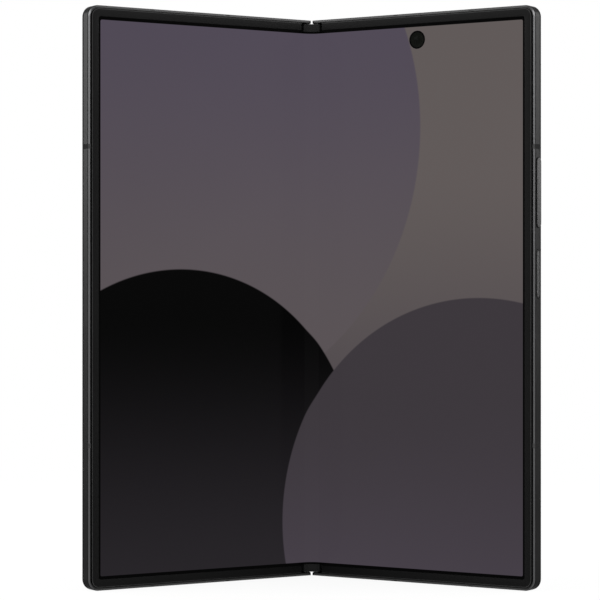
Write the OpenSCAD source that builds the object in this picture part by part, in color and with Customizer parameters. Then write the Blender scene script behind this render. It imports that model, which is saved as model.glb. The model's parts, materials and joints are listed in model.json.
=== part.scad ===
// Foldable smartphone: two thin halves on a geared hinge spine, standing open like a book.
// X runs across the phone, Y from the screen side to the back, Z up.
// A half is drawn flat to the right of the hinge plane, then swung about its own fold axis.
// Lengths in a half's section are u, outwards from the hinge plane, and d, the depth behind the rim.

/* [Body] */
// Width of one half, hinge plane to outer edge
half_w = 71.6; // [69:0.1:75]
// Height of the phone
body_h = 158.4; // [154:0.1:164]
// Thickness of one half
body_t = 4.2; // [4.2:0.05:4.8]
// Radius of the outer corners
corner_r = 3.1; // [2.6:0.1:5]
// Tilt of each half from flat as the phone stands
tilt = 32.5; // [15:0.5:45]
// Frame wall at the outer edge
side_wall = 1.0; // [0.9:0.05:1.2]
// Frame wall at the top and bottom edges
end_wall = 1.25; // [1.1:0.05:1.5]
// Front chamfer of the frame, across
chamfer_w = 0.3; // [0.2:0.02:0.32]
// Front chamfer of the frame, deep
chamfer_d = 0.7; // [0.4:0.05:0.9]
// Back chamfer of the frame
chamfer_back = 0.25; // [0.1:0.05:0.4]
// Width of a plastic antenna break
break_w = 1.3; // [0.8:0.1:2]
// Depth of a plastic antenna break
break_d = 0.5; // [0.3:0.05:0.7]
// Lower break of the outer edge, from the bottom
break_low = 39.3; // [34:0.1:46]
// Upper break of the outer edge, from the top
break_high = 38.3; // [36:0.1:39]
// Inner break of the ends, from the hinge plane
break_inner = 28.1; // [25:0.1:29]
// Outer break of the ends, from the hinge plane
break_outer = 52.1; // [50:0.1:54]

/* [Screen] */
// Rim of the frame beside the screen bezel
rim_side = 0.33; // [0.33:0.01:0.45]
// Rim of the frame above and below the screen bezel
rim_end = 0.78; // [0.6:0.02:0.9]
// Dark groove between rim and bezel at the outer edge
groove_w = 0.47; // [0.2:0.01:0.6]
// Gap between rim and bezel at the top and bottom
groove_end = 0.1; // [0.05:0.01:0.2]
// Width of the soft bezel
bezel_w = 1.97; // [1.6:0.01:2.4]
// Height of the soft bezel above the rim
bezel_proud = 0.15; // [0.1:0.01:0.2]
// Depth of the screen surface behind the rim
screen_d = 0.1; // [0.05:0.01:0.15]
// Thickness of the folding screen
screen_t = 0.65; // [0.5:0.01:0.7]
// Thickness of the metal plate behind the screen
plate_t = 0.2; // [0.15:0.01:0.25]
// Thickness of the frame's middle plate
mid_t = 0.4; // [0.3:0.05:0.5]
// Half the width of the part of the screen that bends
fold_u = 8.5; // [7.5:0.1:10]
// Radius of the screen's bend as the phone stands
fold_r = 4; // [3:0.1:5]
// Radius of the inner camera's hole in the screen
inner_cam_r = 2.45; // [2:0.05:2.6]
// Inner camera, from the hinge plane
inner_cam_u = 35.1; // [30:0.1:40]
// Inner camera, below the top edge
inner_cam_down = 7.3; // [7:0.1:9]

/* [Hinge] */
// Gap between the two rims when shut
closed_gap = 0.5; // [0.4:0.05:0.8]
// Depth of the fold axes behind the rim
axis_depth = 1.14; // [1.1:0.01:1.2]
// Outer radius of the spine about each fold axis
spine_r = 2.6; // [2.55:0.01:2.62]
// Wall of the spine cover
spine_wall = 0.35; // [0.3:0.01:0.36]
// Gap between the spine and the halves
spine_gap = 0.12; // [0.08:0.01:0.13]
// Depth at which the spine's side walls start
spine_front = 1.75; // [1.7:0.01:1.8]
// Length of a spine end cap
cap_l = 2.2; // [1.8:0.1:3]
// Half the width of the raised face of an end cap
cap_half_w = 2.31; // [2:0.01:2.4]
// Frame wall beyond each end of the spine
spine_end_wall = 0.9; // [0.7:0.05:1]
// Gap between an end cap and the frame walls
cap_gap = 0.25; // [0.15:0.01:0.4]
// Inner radius of the arc rails
rail_in = 1.35; // [1.3:0.01:1.4]
// Outer radius of the arc rails
rail_out = 1.85; // [1.8:0.01:1.9]
// Sweep of an arc rail
rail_sweep = 128; // [110:1:129]
// Length of an arc rail
rail_l = 4.3; // [3.5:0.1:4.4]
// Running clearance of rails and shafts
run_gap = 0.04; // [0.02:0.005:0.05]
// Distance of a hinge unit's inner end from the middle of the spine
unit_start = 35.8; // [30:0.1:40]
// Reach of the hinge plates into the halves
hinge_reach = 10.6; // [10.2:0.1:11]

/* [Hinge gears] */
// Teeth of each gear
gear_teeth = 10; // [10:2:12]
// Pitch radius of each gear
gear_r = 0.62; // [0.6:0.005:0.63]
// Pressure angle
gear_angle = 25; // [22:1:27]
// Clearance between the flanks of two teeth
gear_play = 0.02; // [0.01:0.005:0.03]
// Depth of the gear shafts
gear_depth = 2.3; // [2.28:0.01:2.32]
// Face width of the gears
gear_l = 2.8; // [2:0.1:2.8]
// Radius of the gear shafts
shaft_r = 0.34; // [0.28:0.01:0.36]
// Thickness of the sliding arms
arm_t = 0.28; // [0.2:0.01:0.3]
// Front of the sliding arms, in depth, when flat
arm_depth = 1.92; // [1.9:0.01:1.94]
// Reach of the sliding arms from the hinge plane
arm_reach = 8.4; // [7.5:0.1:8.6]
// Turns of a hinge spring
spring_turns = 7; // [5:1:8]
// Radius of the spring wire
wire_r = 0.1; // [0.07:0.01:0.11]

/* [Back panels] */
// Thickness of the back glass panels
glass_t = 0.5; // [0.4:0.05:0.6]
// Frame rim around the back glass
glass_rim = 0.6; // [0.5:0.05:0.8]
// Metal strip beside the hinge on the back
hinge_strip = 5.2; // [5:0.1:6.5]
// Gap around the glass
glass_gap = 0.04; // [0.02:0.01:0.08]
// Thickness of the cover display behind its glass
cover_panel_t = 0.5; // [0.4:0.05:0.6]
// Radius of the cover camera
cover_cam_r = 1.9; // [1.5:0.1:2.2]

/* [Rear cameras] */
// Width of the camera island
island_w = 15.6; // [14:0.1:17]
// Distance between lens centres
lens_pitch = 16.4; // [15.8:0.1:18]
// Island centre line, from the outer edge
island_in = 11.4; // [11:0.1:13]
// Middle lens, below the top edge
island_down = 29.2; // [28:0.1:34]
// Height of the island above the glass
island_proud = 1.3; // [0.8:0.1:1.8]
// Outer radius of a lens ring
ring_r = 6.6; // [6:0.1:7]
// Width of a lens ring
ring_w = 1.3; // [1:0.1:1.6]
// Height of a lens ring above the island
ring_proud = 1.3; // [0.8:0.1:1.6]
// Thickness of a lens window
window_t = 0.4; // [0.3:0.05:0.6]
// Radius of the flash
flash_r = 2.1; // [1.5:0.1:2.5]

/* [Keys] */
// Width of the keys
key_w = 2.3; // [1.8:0.05:2.4]
// Gap around the keys
key_gap = 0.1; // [0.06:0.01:0.12]
// Length of the volume key
volume_l = 18.8; // [16:0.1:22]
// Middle of the volume key, from the top
volume_down = 50.7; // [50.5:0.1:54]
// Height of the volume key above the frame
volume_proud = 0.35; // [0.2:0.05:0.5]
// Length of the side key
side_key_l = 13.3; // [11:0.1:15]
// Middle of the side key, from the top
side_key_down = 72.65; // [70.5:0.05:76]
// Height of the side key above the frame
side_key_proud = 0.08; // [0.05:0.01:0.3]
// Travel of the keys
key_travel = 0.25; // [0.15:0.01:0.3]

/* [Ports] */
// Width of the USB socket's mouth
usb_w = 8.4; // [8:0.1:9]
// Height of the USB socket's mouth
usb_h = 2.4; // [2:0.05:2.44]
// USB socket, from the hinge plane
usb_u = 36; // [32:0.1:42]
// Depth of the USB socket
usb_l = 7; // [6:0.1:8]
// Number of speaker holes
speaker_holes = 6; // [3:1:7]
// Radius of a speaker hole
speaker_hole_r = 0.45; // [0.3:0.05:0.6]
// Distance between speaker holes
speaker_pitch = 1.7; // [1.5:0.05:1.8]
// First speaker hole, from the outer edge
speaker_in = 16; // [15.5:0.1:16.4]
// Width of the SIM tray
tray_w = 14.6; // [13:0.1:16]
// Thickness of the SIM tray's front
tray_h = 1.7; // [1.5:0.05:1.9]
// Length of the SIM tray
tray_l = 17; // [15:0.5:20]
// SIM tray, from the hinge plane
tray_u = 40; // [38.5:0.1:41.5]
// Gap around the SIM tray
tray_gap = 0.1; // [0.06:0.01:0.15]

/* [Inside] */
// Gap between inner parts
part_gap = 0.3; // [0.2:0.05:0.5]
// Thickness of a circuit board
board_t = 0.6; // [0.5:0.05:0.8]
// Height of the shield cans
shield_h = 1.1; // [0.8:0.05:1.1]
// Bottom of the batteries, from the bottom edge
battery_at = 24; // [22.5:0.5:28]
// Height of the main board
board_h = 55; // [54:0.5:60]
// Height of the sub board
sub_board_h = 19; // [15:0.5:24]
// Gap from the batteries to the outer edge
battery_in = 5.2; // [5:0.1:8]
// Thickness of the charging coil
coil_t = 0.25; // [0.15:0.01:0.3]
// Outer radius of the charging coil
coil_out = 23; // [18:0.5:24]
// Inner radius of the charging coil
coil_in = 13; // [9:0.5:15]
// Width of the haptic motor
haptic_w = 12; // [8:0.5:16]
// Length of the haptic motor
haptic_l = 16; // [10:0.5:18]

/* [Hidden] */
$fn = 48;
over = 1;

// Fold axes: the front corner of each half turns about them without crossing the hinge plane
hinge_edge = closed_gap / 2;
axis_x = axis_depth + hinge_edge;
gear_x = 3 * gear_r;
cavity_r = spine_r + spine_gap;
cavity_u = axis_x + cavity_r;
spine_in = spine_r - spine_wall;
bracket_r = spine_in - 0.02;
trough_r = spine_in - 0.26;

// Depths of the layers behind the rim
plate_d = screen_d + screen_t;
wing_d = plate_d + plate_t;
wing_t = 0.2;
rail_d = wing_d + wing_t;
rail_t = 0.4;
mid_back = wing_d + mid_t;
glass_d = body_t - glass_t;
bay_d = (mid_back + glass_d) / 2;

// Well of the screen and bay of the inner parts, in a half's plane
well_u = half_w - rim_side;
bezel_u = well_u - groove_w;
bezel_top = body_h - rim_end - groove_end;
bezel_lap = 0.95;
panel_top = bezel_top - bezel_w + bezel_lap;
panel_u = bezel_u - bezel_w + bezel_lap;
bezel_start = 4;
cap_in = body_h / 2 - spine_end_wall - cap_gap - cap_l;
fold_top = body_h / 2 + cap_in - 0.05;
wing_end = body_h - fold_top + 0.15;
wing_start = 2;
bay_u = half_w - side_wall;
bay_top = body_h - end_wall;
bay_start = cavity_u + 0.8;
boss_u = hinge_reach + 1.2;
bay_in = boss_u + part_gap;
bay_r = corner_r - 0.9;

// Lengthways stations of a hinge unit, counted outwards from the middle of the spine
unit_flange = 2;
rail_at = unit_start + 0.8;
wall_1 = rail_at + rail_l + 2 * run_gap + 0.8;
gear_at = wall_1 + 1;
wall_2 = gear_at + gear_l + 0.2;
cam_at = wall_2 + 1;
cam_l = 1.2;
lobe_h = 0.4;
slider_at = cam_at + cam_l + lobe_h + 0.15;
slider_l = 1.4;
spring_at = slider_at + lobe_h + slider_l;
spring_l = 7.5;
wall_3 = spring_at + spring_l;
unit_end = wall_3 + 3;
gear_module = 2 * gear_r / gear_teeth;
gear_tip = gear_r + 0.8 * gear_module;
coil_r = shaft_r + wire_r + 0.06;
cam_r = coil_r + wire_r;
screw_head = 0.75;
screw_r = 0.38;
screw_hole = screw_r + 0.03;
screw_u = hinge_reach - 0.8;
screw_at = [unit_start + 1.2, cam_at - 1];
unit_screws = [unit_start - unit_flange / 2, wall_3 + 2];
boss_d = 2.65;
boss_r = 0.85;
flex_d = rail_d + 0.12;
flex_t = 0.12;
flex_w = 24;

// Standing position: the box of the phone is centred on the origin
front_y = axis_depth - (half_w - chamfer_w - axis_x) * sin(tilt) - axis_depth * cos(tilt);
back_y = axis_depth + (axis_x - hinge_edge) * sin(tilt) + (body_t - axis_depth) * cos(tilt);
stand_y = -(front_y + back_y) / 2;

// Rear cameras
island_u = half_w - island_in;
island_at = body_h - island_down;
island_l = 2 * lens_pitch + island_w + 1.6;
island_back = body_t + island_proud;
lens_at = [for (i = [-1 : 1]) island_at + i * lens_pitch];
module_r = ring_r - ring_w - 0.25;
module_back = glass_d - 0.6;
window_d = island_back + ring_proud - window_t - 0.15;
flash_u = island_u - island_w / 2 - flash_r - 1.2;
flash_at = island_at + lens_pitch;

// Keys: a flange behind the wall, with room to travel to the switch domes
key_d = (body_t + 0.4) / 2;
flange_t = 0.35;
flange_u = bay_u - 0.3 - flange_t;
flange_over = 0.5;
volume_at = body_h - volume_down;
side_key_at = body_h - side_key_down;
dome_u = flange_u - key_travel - 0.03;
dome_h = 0.4;
dome_r = 0.8;
rib_r = 0.25;
rib_l = key_w * 0.6;
sensor_t = 0.1;

// Ports
usb_wall = 0.15;
usb_d = (wing_d + glass_d) / 2;
mic_u = 66.5;
panel_back_d = glass_d - cover_panel_t;
tray_d = (mid_back + panel_back_d) / 2;
tray_t = 1.0;
tray_in = 0.6;
tray_rim = 0.6;
card_at = 3.5;
card_l = 8.8;
card_ledge = 1.4;
pin_u = tray_u + tray_w / 2 + 1.8;

// Inner parts
battery_u = half_w - battery_in;
battery_d = glass_d - 0.35;
battery_gap = 1.5;
board_d = mid_back + board_t;
board_u = island_u - island_w / 2 - 1.4;
board_top = bay_top - 1;
board_at = board_top - board_h;
right_battery_top = board_at - battery_gap;
cover_cam_u = 39;
cover_cam_at = body_h - 6.9;
sub_board_top = cover_cam_at - 3;
left_battery_top = sub_board_top - sub_board_h - battery_gap;
speaker_u = half_w - speaker_in;
speaker_top = battery_at - battery_gap;
speaker_l = speaker_holes * speaker_pitch;
earpiece_u = speaker_u + speaker_l / 2;
haptic_gap = 2;
inner_cam_at = body_h - inner_cam_down;

// Colours
metal_dark = [0.30, 0.31, 0.33];
steel = [0.70, 0.71, 0.73];
rubber_dark = [0.14, 0.14, 0.15];
screen_tone = [0.36, 0.34, 0.36];
glass_dark = [0.10, 0.10, 0.11];
copper = [0.72, 0.45, 0.25];
board_green = [0.10, 0.25, 0.20];
cell_grey = [0.22, 0.22, 0.24];

// ---- Drawing frames ----

// An outline in the plane of a half, as a slab between two depths
module slab(d0, d1) {
    translate([0, d1, 0]) rotate([90, 0, 0]) linear_extrude(height = d1 - d0) children();
}

// A section across the hinge, run between two heights
module run(z0, z1) {
    translate([0, 0, z0]) linear_extrude(height = z1 - z0) children();
}

// A section in depth and height, run outwards between two distances
module across(u0, u1) {
    translate([u0, 0, 0]) rotate([90, 0, 90]) linear_extrude(height = u1 - u0) children();
}

module swing(side) {
    translate([side * axis_x, axis_depth + stand_y, 0]) rotate([0, 0, -side * tilt])
        translate([-side * axis_x, -axis_depth, 0]) children();
}

module right_half() {
    swing(1) children();
}

module left_half() {
    swing(-1) mirror([1, 0, 0]) children();
}

module on_spine() {
    translate([0, stand_y, 0]) children();
}

// Copies at the upper and lower ends; heights inside count from the middle of the phone
module both_ends() {
    translate([0, 0, body_h / 2]) {
        children();
        mirror([0, 0, 1]) children();
    }
}

module both_sides() {
    children();
    mirror([1, 0, 0]) children();
}

// ---- Outlines ----

// Rectangle from (x0, y0) to (x1, y1)
module span(x0, y0, x1, y1) {
    translate([x0, y0]) square([x1 - x0, y1 - y0]);
}

// Rectangle from (u0, z0) to (u1, z1), rounded by r at its outer corners
module outer_round(u0, z0, u1, z1, r) {
    span(u0, z0, u1 - r, z1);
    span(u1 - r - 0.01, z0 + r, u1, z1 - r);
    for (z = [z0 + r, z1 - r]) translate([u1 - r, z]) circle(r);
}

// Rectangle about a centre, rounded by r at all corners
module round_rect(w, h, r) {
    span(-w / 2, -h / 2 + r, w / 2, h / 2 - r);
    span(-w / 2 + r, -h / 2, w / 2 - r, h / 2);
    for (x = [-1, 1], y = [-1, 1]) translate([x * (w / 2 - r), y * (h / 2 - r)]) circle(r);
}

// Slot with round ends, standing upright
module pill(w, h) {
    span(-w / 2, -h / 2 + w / 2, w / 2, h / 2 - w / 2);
    for (y = [-1, 1]) translate([0, y * (h / 2 - w / 2)]) circle(w / 2);
}

// Section of the spine: round about both fold axes
module spine_section(r) {
    for (x = [-1, 1]) translate([x * axis_x, axis_depth]) circle(r);
    span(-axis_x, axis_depth - r, axis_x, axis_depth + r);
}

module behind(d) {
    span(-2 * spine_r, d, 2 * spine_r, body_t + over);
}

// ---- Frame of a half ----

// Section of the frame's edge: e is the distance out from a line inside the edge
module edge_section(reach) {
    polygon([[0, 0], [reach - chamfer_w, 0], [reach, chamfer_d], [reach, body_t - chamfer_back],
        [reach - chamfer_back, body_t], [0, body_t]]);
}

// The same section along the bottom edge, in depth and height
module end_section() {
    translate([0, corner_r]) rotate(-90) edge_section(corner_r);
}

// Quarter of the edge section turned about a corner centre
module edge_corner() {
    rotate([90, 0, 0]) rotate_extrude(angle = 90) mirror([0, 1]) edge_section(corner_r);
}

// The half as one block with chamfered edges and round outer corners
module half_block() {
    u_c = half_w - corner_r;
    run(corner_r, body_h - corner_r) translate([hinge_edge, 0]) edge_section(half_w - hinge_edge);
    for (top = [0, 1]) translate([0, 0, top * body_h]) mirror([0, 0, top]) {
        across(hinge_edge, u_c) end_section();
        translate([u_c, 0, corner_r]) mirror([0, 0, 1]) edge_corner();
    }
}

// Room for the spine: round about the fold axis, open to the front and to the other half
module spine_cavity() {
    run(spine_end_wall, body_h - spine_end_wall) {
        translate([axis_x, axis_depth]) circle(cavity_r);
        span(-over, -over, axis_x, axis_depth + cavity_r);
    }
}

// Rounding of the front corner about the fold axis
module nose_cut() {
    run(-over, body_h + over) difference() {
        span(hinge_edge - over, -over, axis_x, axis_depth);
        translate([axis_x, axis_depth]) circle(axis_depth);
    }
}

module screen_well() {
    slab(-over, 0.45) outer_round(-over, rim_end, well_u, body_h - rim_end, corner_r - rim_side);
    slab(0.4, wing_d) outer_round(-over, rim_end, bezel_u + 0.1, body_h - rim_end, corner_r - 0.9);
}

// Recess for the wing plate, the hinge plates and the sliding arms
module hinge_recess() {
    slab(wing_d - 0.1, rail_d) span(-over, wing_end - 0.1, fold_u + 0.5, body_h - wing_end + 0.1);
    both_ends() {
        run(unit_start - 0.2, cam_at + 0.2) span(0, wing_d - 0.1, hinge_reach + 0.1, rail_d + rail_t);
        run(gear_at, wall_2) span(0, wing_d - 0.1, arm_reach + 0.5, arm_depth + arm_t + 0.25);
        for (z = screw_at) translate([screw_u, 0, z]) rotate([-90, 0, 0])
            translate([0, 0, rail_d]) cylinder(r = screw_hole, h = rail_t + 1.2);
    }
    slab(wing_d, flex_d + 0.35) span(0, body_h / 2 - flex_w / 2 - 0.4, bay_in, body_h / 2 + flex_w / 2 + 0.4);
}

// Bay for the inner parts, kept off the bosses of the hinge units
module inner_bay() {
    slab(mid_back, glass_d + 0.01) difference() {
        outer_round(bay_start, end_wall, bay_u, bay_top, bay_r);
        for (top = [0, 1]) translate([0, top * body_h]) mirror([0, top])
            span(0, body_h / 2 - unit_end - 0.5, boss_u, body_h / 2 - unit_start + 0.8);
    }
}

module glass_outline(gap) {
    outer_round(hinge_strip - gap, glass_rim - gap, half_w - glass_rim + gap,
        body_h - glass_rim + gap, corner_r - glass_rim + gap);
}

// Plastic strips let into the outer edge and both ends
module antenna_breaks() {
    for (z = [break_low, body_h - break_high]) run(z - break_w / 2, z + break_w / 2) intersection() {
        translate([half_w - corner_r, 0]) edge_section(corner_r);
        span(half_w - break_d, 0, half_w, body_t);
    }
    for (u = [break_inner, break_outer], top = [0, 1])
        translate([0, 0, top * body_h]) mirror([0, 0, top]) across(u - break_w / 2, u + break_w / 2)
            intersection() {
                end_section();
                span(0, 0, body_t, break_d);
            }
}

module half_frame() {
    difference() {
        half_block();
        spine_cavity();
        nose_cut();
        screen_well();
        hinge_recess();
        inner_bay();
        slab(glass_d, body_t + over) glass_outline(glass_gap);
        antenna_breaks();
    }
}

// Round hole of the inner camera through the layers in front of it
module inner_cam_hole(r, d0, d1) {
    translate([inner_cam_u, d0, inner_cam_at]) rotate([-90, 0, 0]) cylinder(r = r, h = d1 - d0);
}

module volume_outline(grow) {
    translate([key_d, volume_at]) pill(key_w + 2 * grow, volume_l + 2 * grow);
}

module side_key_outline(grow) {
    translate([key_d, side_key_at]) pill(key_w + 2 * grow, side_key_l + 2 * grow);
}

module usb_outline(grow) {
    translate([usb_u, usb_d]) round_rect(usb_w + 2 * grow, usb_h + 2 * grow, usb_h / 2 + grow - 0.05);
}

module tray_outline(grow) {
    translate([tray_u, tray_d]) round_rect(tray_w + 2 * grow, tray_h + 2 * grow, tray_h / 2 + grow - 0.05);
}

module speaker_cuts() {
    for (i = [0 : speaker_holes - 1]) translate([speaker_u + i * speaker_pitch, key_d, -over])
        cylinder(r = speaker_hole_r, h = end_wall + 2 * over);
}

module right_frame() {
    color(metal_dark) right_half() difference() {
        half_frame();
        inner_cam_hole(inner_cam_r + 0.2, -over, mid_back + 0.1);
        across(bay_u - over, half_w + over) volume_outline(key_gap);
        across(bay_u - over, half_w + over) side_key_outline(key_gap);
        run(-over, end_wall + 0.1) usb_outline(usb_wall + 0.02);
        slab(wing_d, mid_back + 0.1) span(usb_u - usb_w / 2 - 0.5, end_wall, usb_u + usb_w / 2 + 0.5, usb_l + 0.6);
        speaker_cuts();
        translate([mic_u, key_d, -over]) cylinder(r = 0.35, h = end_wall + 2 * over);
    }
}

module left_frame() {
    color(metal_dark) left_half() difference() {
        half_frame();
        run(-over, end_wall + over) tray_outline(tray_gap);
        translate([pin_u, tray_d, -over]) cylinder(r = 0.4, h = end_wall + 2 * over);
        translate([0, 0, body_h]) mirror([0, 0, 1]) speaker_cuts();
        translate([mic_u, key_d, body_h - end_wall - over]) cylinder(r = 0.35, h = end_wall + 2 * over);
    }
}

// ---- Screen ----

// Soft rim around three sides of the screen: a flat lip over the screen's edge and a skirt beside it
module bezel() {
    base = rim_end + groove_end;
    slab(-bezel_proud, screen_d) difference() {
        outer_round(bezel_start, base, bezel_u, bezel_top, corner_r - 0.9);
        outer_round(bezel_start - over, base + bezel_w, bezel_u - bezel_w, bezel_top - bezel_w, 1.2);
    }
    slab(screen_d, plate_d) difference() {
        outer_round(fold_u, base, bezel_u, bezel_top, corner_r - 0.9);
        outer_round(fold_u - over, body_h - panel_top - 0.05, panel_u + 0.05, panel_top + 0.05, 1.5);
    }
}

module support_plate() {
    base = rim_end + groove_end;
    slab(plate_d, wing_d) outer_round(fold_u, base, bezel_u, bezel_top, corner_r - 0.9);
}

module wing_plate() {
    slab(wing_d, rail_d) span(wing_start, wing_end, fold_u + 0.4, body_h - wing_end);
}

module panel() {
    slab(screen_d, plate_d) outer_round(fold_u, body_h - panel_top, panel_u, panel_top, 1.5);
}

module right_bezel() {
    color(rubber_dark) right_half() bezel();
}

module left_bezel() {
    color(rubber_dark) left_half() bezel();
}

module display_right() {
    color(screen_tone) right_half() difference() {
        panel();
        inner_cam_hole(inner_cam_r, -over, wing_d);
    }
}

module display_left() {
    color(screen_tone) left_half() panel();
}

module right_support_plate() {
    color(steel) right_half() difference() {
        support_plate();
        inner_cam_hole(inner_cam_r, -over, mid_back);
    }
}

module left_support_plate() {
    color(steel) left_half() support_plate();
}

module right_wing_plate() {
    color(steel) right_half() wing_plate();
}

module left_wing_plate() {
    color(steel) left_half() wing_plate();
}

// Where a point (u, d) of a half's section lies once the half is tilted
function swung(u, d) = [
    axis_x + (u - axis_x) * cos(tilt) + (d - axis_depth) * sin(tilt),
    axis_depth - (u - axis_x) * sin(tilt) + (d - axis_depth) * cos(tilt)
];
function swung_left(u, d) = let(p = swung(u, d)) [-p[0], p[1]];

// Centre of the screen's bend: both flats of the screen surface touch the bend's circle
bend_y = axis_depth + axis_x * tan(tilt) + (screen_d - axis_depth - fold_r) / cos(tilt);

// Layer at depth d across the fold, out to u on both sides
function fold_layer(d, u) = concat([swung_left(u, d)],
    [for (a = [-tilt : tilt / 12 : tilt + 0.001]) let(r = fold_r + d - screen_d) [r * sin(a), bend_y + r * cos(a)]],
    [swung(u, d)]);
function backwards(list) = [for (i = [len(list) - 1 : -1 : 0]) list[i]];

module fold_sheet(d0, d1, u) {
    polygon(concat(fold_layer(d0, u), backwards(fold_layer(d1, u))));
}

module display_fold_section() {
    color(screen_tone) {
        on_spine() run(body_h - fold_top, fold_top) fold_sheet(screen_d, plate_d, fold_u);
        for (z = [body_h - panel_top, fold_top]) {
            right_half() slab(screen_d, plate_d) span(bezel_start + 0.2, z, fold_u, z + panel_top - fold_top);
            left_half() slab(screen_d, plate_d) span(bezel_start + 0.2, z, fold_u, z + panel_top - fold_top);
        }
    }
}

// Thin springy steel behind the bend, pierced with rows of slots where it bends
module fold_backing_plate() {
    slot_l = 6;
    pitch = 8;
    rows = floor((fold_top - wing_end) / pitch) - 1;
    color(steel) on_spine() difference() {
        run(wing_end, body_h - wing_end) fold_sheet(plate_d, plate_d + 0.12, fold_u);
        for (i = [0 : rows - 1]) translate([0, 0, wing_end + (i + 1) * pitch])
            for (x = [-1.2, 0, 1.2]) translate([x, 0, x == 0 ? 0 : pitch / 2])
                rotate([-90, 0, 0]) linear_extrude(height = 3) pill(0.4, slot_l);
    }
}

// ---- Hinge ----

module spine_cover() {
    color(metal_dark) on_spine() {
        difference() {
            run(body_h / 2 - cap_in, body_h / 2 + cap_in) intersection() {
                difference() {
                    spine_section(spine_r);
                    spine_section(spine_in);
                }
                behind(spine_front);
            }
            both_ends() both_sides() run(gear_at, wall_2)
                span(2, 0, 2 * spine_r, arm_depth + arm_t + 0.08);
        }
        both_ends() for (z = unit_screws) translate([0, boss_d, z]) rotate([-90, 0, 0]) difference() {
            cylinder(r = boss_r, h = axis_depth + spine_in - boss_d + 0.1);
            translate([0, 0, -over]) cylinder(r = screw_hole, h = axis_depth + spine_in - boss_d + over);
        }
    }
}

module spine_end_caps() {
    color(metal_dark) on_spine() both_ends() run(cap_in, cap_in + cap_l) {
        intersection() {
            spine_section(spine_r);
            behind(spine_front);
        }
        span(-cap_half_w, screen_d / 2, cap_half_w, spine_front + 0.5);
    }
}

// Bracket of each hinge unit: arc grooves for the rails, walls with shaft bores, troughs between them
module hinge_brackets() {
    color(steel) on_spine() both_ends() difference() {
        run(unit_start - unit_flange, unit_end) intersection() {
            spine_section(bracket_r);
            behind(spine_front);
        }
        both_sides() {
            translate([axis_x, axis_depth, rail_at]) rotate_extrude(angle = rail_sweep + 5)
                translate([rail_in - run_gap, 0]) square([rail_out - rail_in + 2 * run_gap, rail_l + 2 * run_gap]);
            translate([gear_x, gear_depth, gear_at - 0.8])
                cylinder(r = shaft_r + run_gap, h = wall_3 + 0.8 - gear_at + 0.8);
            translate([gear_r, gear_depth, gear_at - 0.8]) cylinder(r = shaft_r + run_gap, h = cam_at - gear_at + 0.9);
            run(gear_at, wall_2) span(2, 0, 2 * spine_r, arm_depth + arm_t + 0.08);
        }
        run(gear_at, wall_2) spine_section(trough_r);
        run(cam_at, wall_3) spine_section(trough_r);
        for (z = unit_screws) translate([0, 0, z]) rotate([-90, 0, 0]) {
            cylinder(r = screw_hole, h = body_t);
            translate([0, 0, boss_d - 0.02]) cylinder(r = boss_r + 0.05, h = body_t);
        }
    }
}

// Screw along +Y from a seat at y = 0, with a hexagon socket
module small_screw(head_t, length) {
    rotate([-90, 0, 0]) difference() {
        union() {
            translate([0, 0, -head_t]) cylinder(r = screw_head, h = head_t);
            cylinder(r = screw_r, h = length);
        }
        translate([0, 0, -head_t - over]) cylinder(r = screw_r * 0.9, h = over + head_t / 2, $fn = 6);
    }
}

module hinge_screws() {
    color(steel) on_spine() both_ends() for (z = unit_screws) translate([0, spine_front, z])
        small_screw(0.3, axis_depth + spine_in - spine_front - 0.05);
}

// Involute tooth: the angle to a flank at radius q, from the tooth's centre line
function involute(a) = tan(a) * 180 / PI - a;
function flank(q) = let(rb = gear_r * cos(gear_angle))
    90 / gear_teeth - gear_play / gear_r * 90 / PI + involute(gear_angle) - (q > rb ? involute(acos(rb / q)) : 0);

module gear_outline() {
    root = gear_r - gear_module;
    reach = gear_tip - root;
    radii = [for (k = [0 : 4]) root + reach * k / 4];
    polygon([for (i = [0 : gear_teeth - 1]) each concat(
        [for (q = radii) q * [cos(i * 360 / gear_teeth - flank(q)), sin(i * 360 / gear_teeth - flank(q))]],
        [for (q = backwards(radii)) q * [cos(i * 360 / gear_teeth + flank(q)), sin(i * 360 / gear_teeth + flank(q))]])]);
}

module gear(phase) {
    run(gear_at + 0.1, wall_2 - 0.1) rotate(phase * 180 / gear_teeth) gear_outline();
}

// Two lobes standing on the end of a cam
module lobes() {
    for (a = [0, 180]) rotate([0, 0, a]) rotate_extrude(angle = 60)
        translate([shaft_r + 0.08, 0]) square([cam_r - shaft_r - 0.08, lobe_h]);
}

// Gear shaft with its cam and the flat arm that slides in the half, the arm at the tilt given
module sync_arm(side) {
    run(gear_at - 0.75, wall_3 + 0.75) circle(shaft_r);
    gear(side > 0 ? 1 : 0);
    translate([0, 0, cam_at + 0.05]) cylinder(r = cam_r, h = cam_l - 0.05);
    translate([0, 0, cam_at + cam_l - 0.01]) lobes();
    mirror([side > 0 ? 0 : 1, 0, 0]) rotate([0, 0, -tilt]) run(gear_at + 0.1, wall_2 - 0.1)
        span(0, arm_depth - gear_depth, arm_reach - gear_x, arm_depth - gear_depth + arm_t);
}

module right_sync_arms() {
    color(steel) on_spine() both_ends() translate([gear_x, gear_depth, 0]) sync_arm(1);
}

module left_sync_arms() {
    color(steel) on_spine() both_ends() translate([-gear_x, gear_depth, 0]) sync_arm(-1);
}

module idler(phase) {
    run(gear_at - 0.75, cam_at - 0.1) circle(shaft_r);
    gear(phase);
}

module right_idler_gears() {
    color(steel) on_spine() both_ends() translate([gear_r, gear_depth, 0]) idler(0);
}

module left_idler_gears() {
    color(steel) on_spine() both_ends() translate([-gear_r, gear_depth, 0]) idler(1);
}

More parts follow.
